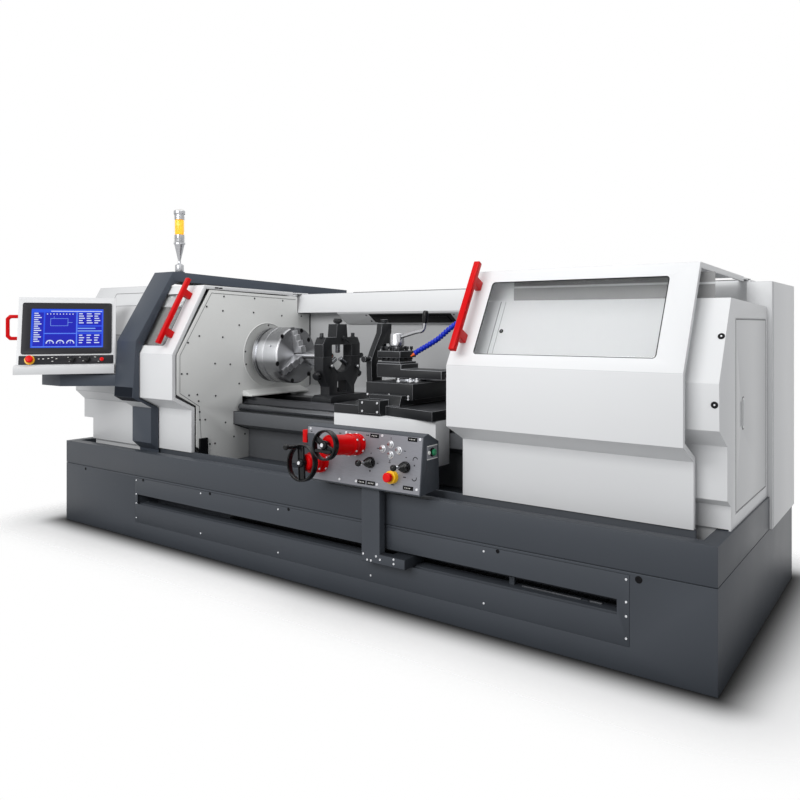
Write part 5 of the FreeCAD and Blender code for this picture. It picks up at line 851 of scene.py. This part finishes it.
hosePath = [[a + b for a, b in zip(hose["corner"], spot)] for spot in smoothPath(hose["path"], 34)]
hoseBody = build("hoseLinks", bluePlastic, "saddle", (addTube, hosePath, hoseRadius, 18), angle=60)
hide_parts("coolant_hose")
turnedSet("hoseNozzle", axisPlace((2265, 590, 1070), (23, 12, 18)),
    [(2.6, 5), (2.6, 0), (3.8, 0), (4.6, 8), (7.6, 15), (8, 18), (8, 30)], orangePlastic, "saddle")
build("hosePipe", brightSteel, "saddle", (addTube, [(2560, 850, 833), (2560, 850, 1296), (2561, 851, 1300)], 9, 20),
    (addTurned, upright(2560, 850, 832), [(9, 0), (21.6, 0), (21.6, 9), (20.6, 10), (9, 10)], 28))
print("coolant hose finished")

# bolts and studs of the slides, marks of the dial
studs = [upright(x, y, 942) for x, y in ((2264, 481), (2313, 516), (2340, 535))]
build("slideBolts", screwZinc, "cross_slide",
    *((addTurned, spot, [(13, 0), (13, 2.4), (0, 2.4)]) for spot in studs),
    *((addHex, spot, 2, 11, 9) for spot in studs),
    *((addTurned, spot, [(6.4, -1), (6.4, 8), (5.4, 9.4), (0, 9.4)], 16, (0, 0, 10)) for spot in studs),
    *((addScrew, frontOf(400), spot, 6, 3.4) for spot in ((2127, 879), (2263, 882), (2382, 880), (2382, 866))))
screwSet("saddleBolts", frontOf(292), ((2178, 848), (2272, 850), (2178, 806), (2272, 806)), screwZinc, 6, 3.4,
    body="saddle")
marks = [(Matrix.Rotation(math.radians(dial["first"] + dial["step"] * k), 4, "Z"), 9 if k % 5 == 0 else 6)
    for k in range(dial["count"])]
build("dialMarks", labelBlack, "cross_slide",
    *((addBlock, Matrix.Translation(at(dial["x"], dial["y"], 0)) @ turn @ Matrix.Scale(0.001, 4),
        (dial["radius"], -0.5, dial["top"] + 0.3 - long), (dial["radius"] + 0.5, 0.5, dial["top"]))
        for turn, long in marks))

# steady rest: bolts, lever studs and star knobs
steady = {"middle": 1666, "face": 1700, "studs": ((598, 1001, 640, 962), (827, 991, 842, 948)), "knobReach": 195}
build("capBolts", screwBlack, "steady_cap",
    *((addTurned, upright(steady["middle"], y, 1163),
        [(15, 0), (15, 3), (11, 3), (11, 22), (9.6, 24), (5, 24), (5, 17), (0, 17)], 24) for y in (562, 838)))
build("steadyStuds", screwZinc, "steady_base",
    *((addTurned, alongBed(steady["face"], y, z), [(7.5, 0), (7.5, 16), (6, 18), (0, 18)])
        for y, z, endY, endZ in steady["studs"]))
build("steadyLevers", screwBlack, "steady_base",
    *((addTube, [(1708, y, z), (1712, (y + endY) / 2, (z + endZ) / 2), (1718, endY, endZ)], 4.2, 12)
        for y, z, endY, endZ in steady["studs"]),
    *((addTurned, alongBed(steady["face"], y, z), [(12, 0), (12, 9), (10.5, 10.5), (7, 10.5)], 24)
        for y, z, endY, endZ in steady["studs"]))
build("capLever", screwBlack, "steady_cap",
    (addTurned, alongBed(steady["face"], 708, 1158), [(12, 0), (12, 9), (10, 11), (0, 11)], 22),
    (addTube, [(1706, 708, 1158), (1712, 726, 1146), (1717, 744, 1132)], 4.2, 12))
spot = upright(steady["middle"], 700, 832)
build("footBolt", screwBlack, "steady_base", (addBlock, spot, (-20, -18, 0), (20, 18, 6), 1.5),
    (addTurned, spot, [(14, 0), (14, 3), (0, 3)], 24, (0, 0, 6)), (addHex, spot, 9, 12, 16),
    (addTurned, spot, [(8, -1), (8, 13), (7, 14.4), (0, 14.4)], 18, (0, 0, 25)))
for index, degrees in ((1, 90), (2, 210), (3, 330)):
    knob = axisPlace((steady["middle"] + 0.5, *polar(*spindleAxis, steady["knobReach"], degrees)),
        (0, *polar(0, 0, 1, degrees)))
    turnedSet(f"starKnob{index}", knob, [(0, 0), (6, 0), (7.4, 1.6), (7.4, 12), (6, 14), (0, 14)], blackPlastic,
        f"steady_finger_{index}", 14, [(*polar(0, 0, 20, 18 + 72 * k), 5) for k in range(5)])
print("steady rest finished")

# chuck: black discs painted as the shaded bores of the bolts sunk in its face, flange behind it, painted end of the
# bar
chuck = {"face": 1340, "flange": 1128, "barEnd": 1620}
# painted shade: flat black discs stand for the dark bores of the sunk bolts
build("faceBoreShades", labelBlack, "spindle",
    *((addTurned, alongBed(chuck["face"], y, z), [(0, 0.3), (13.5, 0.3), (14, 0.2), (14, -0.5)], 24)
        for y, z in ((577, 1166), (537, 1005), (805, 1142), (805, 932), (662, 897), (742, 1199))))
turnedSet("chuckFlange", alongBed(chuck["flange"], *spindleAxis),
    [(120, 0), (164, 0), (166, 2), (166, 10), (162, 11), (162, 14), (166, 15), (166, 22), (120, 22)],
    turnedSteel, "spindle", 72)
turnedSet("barMark", alongBed(chuck["barEnd"], *spindleAxis), [(0, 0.3), (9, 0.3), (9, -0.5)], orangePlastic,
    "spindle")
print("chuck finished")

# doors, guard and cabinet: seals, linings (the grey ones painted as the shaded inside seen through the windows),
# plugs, seams and a painted shadow round the side grip
for side, area in (("left", (720, 53, 975, 397)), ("right", (2975, 53, 3712, 397))):
    build(side + "WindowSeal", rubberBlack, side + "_door", (addFrame, doorPlace, area, 14, 3.5, -2.5, -0.4))
# painted shade: a grey sheet behind the left window stands for the shaded inside of the machine
plateSet("leftLining", doorPlace, liningShadeGrey, -26, -24, (700, 30, 1000, 404), body="left_door")
plateSet("leftLiningCase", doorPlace, coverPaint, -24, -16, (706, 320, 950, 400), body="left_door")
plateSet("leftLiningFold", doorPlace, coverPaint, -24, -17, (944, 32, 950, 404), (962, 32, 968, 404),
    body="left_door")
upperGuard = slopePlace((50, 1036), (225, 1332))
middleGuard = slopePlace((55, 875), (50, 1036))
plugs = [(upperGuard, 3898, 185, 0.7), (upperGuard, 3037, 201, 0.5), (middleGuard, 3897, 89, 0.7),
    (middleGuard, 3037, 89, 0.7)]
for name, material, steps, height, profile in (
        ("guardPlugs", rubberBlack, 26, 0, ((17, 0), (17, 1.6), (15, 3), (9, 3), (7, 1.6), (0, 1.6))),
        ("guardPlugCentres", screwZinc, 20, 1.6, ((0, 1.2), (4, 1.2), (5, 0.4), (5, 0)))):
    build(name, material, "machine", *((addTurned, place, [(r * scale, z) for r, z in profile], steps, (x, y, height))
            for place, x, y, scale in plugs))
behindGlass = frontOf(262)
# painted shade: a grey sheet behind the right window's top stands for the shaded inside behind the guard's crown
plateSet("guardBackShade", behindGlass, liningShadeGrey, -2, 0, (3040, 1333, 3850, 1430))
plateSet("guardBackRail", behindGlass, coverPaint, 0, 3, (3040, 1384, 3850, 1392))
plateSet("guardWing", upperGuard, whitePaint, -2, 0, (2884, 0, 3022, 344))
plateSet("guardWingTop", behindGlass, whitePaint, -2, 0, (2884, 1333, 3039, 1430))
plateSet("guardWingSeam", upperGuard, seamAndShadowGrey, 0, 0.6, (2999, 6, 3001.5, 340), (3021.6, 6, 3023, 340))
# sideGripShade is a grey ring painted as the shadow round the side door's grip; the seams and the rim are real
for name, material, *ring in (("sideDoorSeam", seamAndShadowGrey, (298, 550, 859, 1257), 8, 3.6, 0.05, 0.4),
        ("sideGripRim", whitePaint, (403, 845, 437, 961), 16.9, 8, 0, 2.2),
        ("sideGripShade", seamAndShadowGrey, (398, 840, 444, 966), 22.9, 6, 0, 0.4)):
    build(name, material, "side_door", (addFrame, endOf(3912), *ring))

# headstock: recessed sheets, seams on the chuck's wall, and dark plates painted as the shade of a pocket in the arch,
# with a light rim
coverSlope = slopePlace((60, 1171), (235, 1476))
plateSet("coverSeams", coverSlope, seamAndShadowGrey, 0.1, 0.9, (226, 1, 606, 4), (226, 1, 229, 302), (226, 299, 606, 302),
    (296, 1, 299, 210), (296, 207, 606, 210))
plateSet("coverSheet", coverSlope, liningLight, 0.1, 0.6, (299, 4, 606, 207))
wallOutline = [(185, 560), (170, 770), (36, 853), (36, 1062), (259, 1419), (955, 1399)]
build("wallSeam", seamAndShadowGrey, "machine",
    *((addBlock, placeOf((1085, y0, z0), (0, y1 - y0, z1 - z0), (0, z0 - z1, y1 - y0)), (0, -1.4, 0.1),
        (math.hypot(y1 - y0, z1 - z0), 1.4, 0.6)) for (y0, z0), (y1, z1) in zip(wallOutline, wallOutline[1:])))
plateSet("railVents", endOf(1083), labelBlack, 0, 0.8, (286, 1447, 312, 1454), (316, 1446, 342, 1453),
    body="left_door")
archUnder = slopePlace((60, 750), (-62, 821))
# painted shade: thin dark plates on the arch's front and slanted face stand for the shaded pocket beneath the panel
# arm
plateSet("archPocketShade", slopePlace((-62, 821), (-42, 1140)), pocketShade, 0.1, 0.7, (616, 1, 786, 56))
plateSet("archPocketFloorShade", archUnder, pocketShade, 0.1, 0.7, (616, 84, 786, 140))
plateSet("archPocketRim", archUnder, coverPaint, 0.1, 0.9, (616, 6, 800, 84))
plateSet("doorRunner", placeOf((0, 0, 0), (1, 0, 0), (0, 1, 0)), screwBlack, 1436, 1439, (1520, 1020, 3818, 1034))
print("sheets finished")

# work lamp, beacon and slot
plateSet("lampFrame", lampPlace, labelBlack, 0.2, 3, (-290, -34, 300, 52))
plateSet("lampTubes", lampPlace, lampGrey, 3, 5, (-236, 22, 214, 30), (-236, -6, 214, 2))
plateSet("lampEnds", lampPlace, liningLight, 4, 6, (150, 20, 214, 32), (150, -8, 214, 4))
screwSet("lampScrews", lampPlace, [(x, y) for x in (-316, 316) for y in (-24, 40)], screwBlack, 6, 2.6)
beaconPlace = upright(740, 300, 1557)
build("beaconStack", brightSteel, "machine",
    (addTurned, beaconPlace, [(0, 172.5), (26, 172.5), (27, 176), (27, 226), (24, 228), (0, 228)], 32),
    (addTurned, beaconPlace, [(0, 318), (24, 318), (27, 320), (27, 352), (0, 352)], 32))
turnedSet("beaconLight", beaconPlace, [(0, 228.5), (23, 228.5), (25, 234), (25, 312), (23, 317.5), (0, 317.5)],
    beaconAmber, steps=32)
build("beaconRings", brightSteel, "machine",
    (addTurned, beaconPlace, [(33.2, 168), (34, 168), (34, 178), (33.2, 178)], 40),
    (addTurned, beaconPlace, [(33.2, 352), (34, 354), (34, 370), (33.2, 372)], 40))
channel = {"first": 830, "pitch": 57, "height": 190, "last": 3500, "carrier": (2430, 2650)}
channelPlace = frontOf(60)
plateSet("channelRail", channelPlace, railSteel, -6, 0, (800, 196, 2440, 200), (2640, 196, 3120, 200),
    (3174, 200, 3419, 205), (3453, 198, 3500, 206))
plateSet("channelBracket", channelPlace, slatePaint, -10, 4, (3120, 172, 3142, 232), (3424, 176, 3448, 204),
    (752, 172, 778, 204))
turnedSet("channelDots", channelPlace, [(3, -4), (3, 0.5), (2, 1.4), (0, 1.4)], screwZinc, steps=10,
    spots=[(x, channel["height"]) for x in range(channel["first"], channel["last"], channel["pitch"])
        if not channel["carrier"][0] < x < channel["carrier"][1]])
print("lamp, beacon and slot finished")
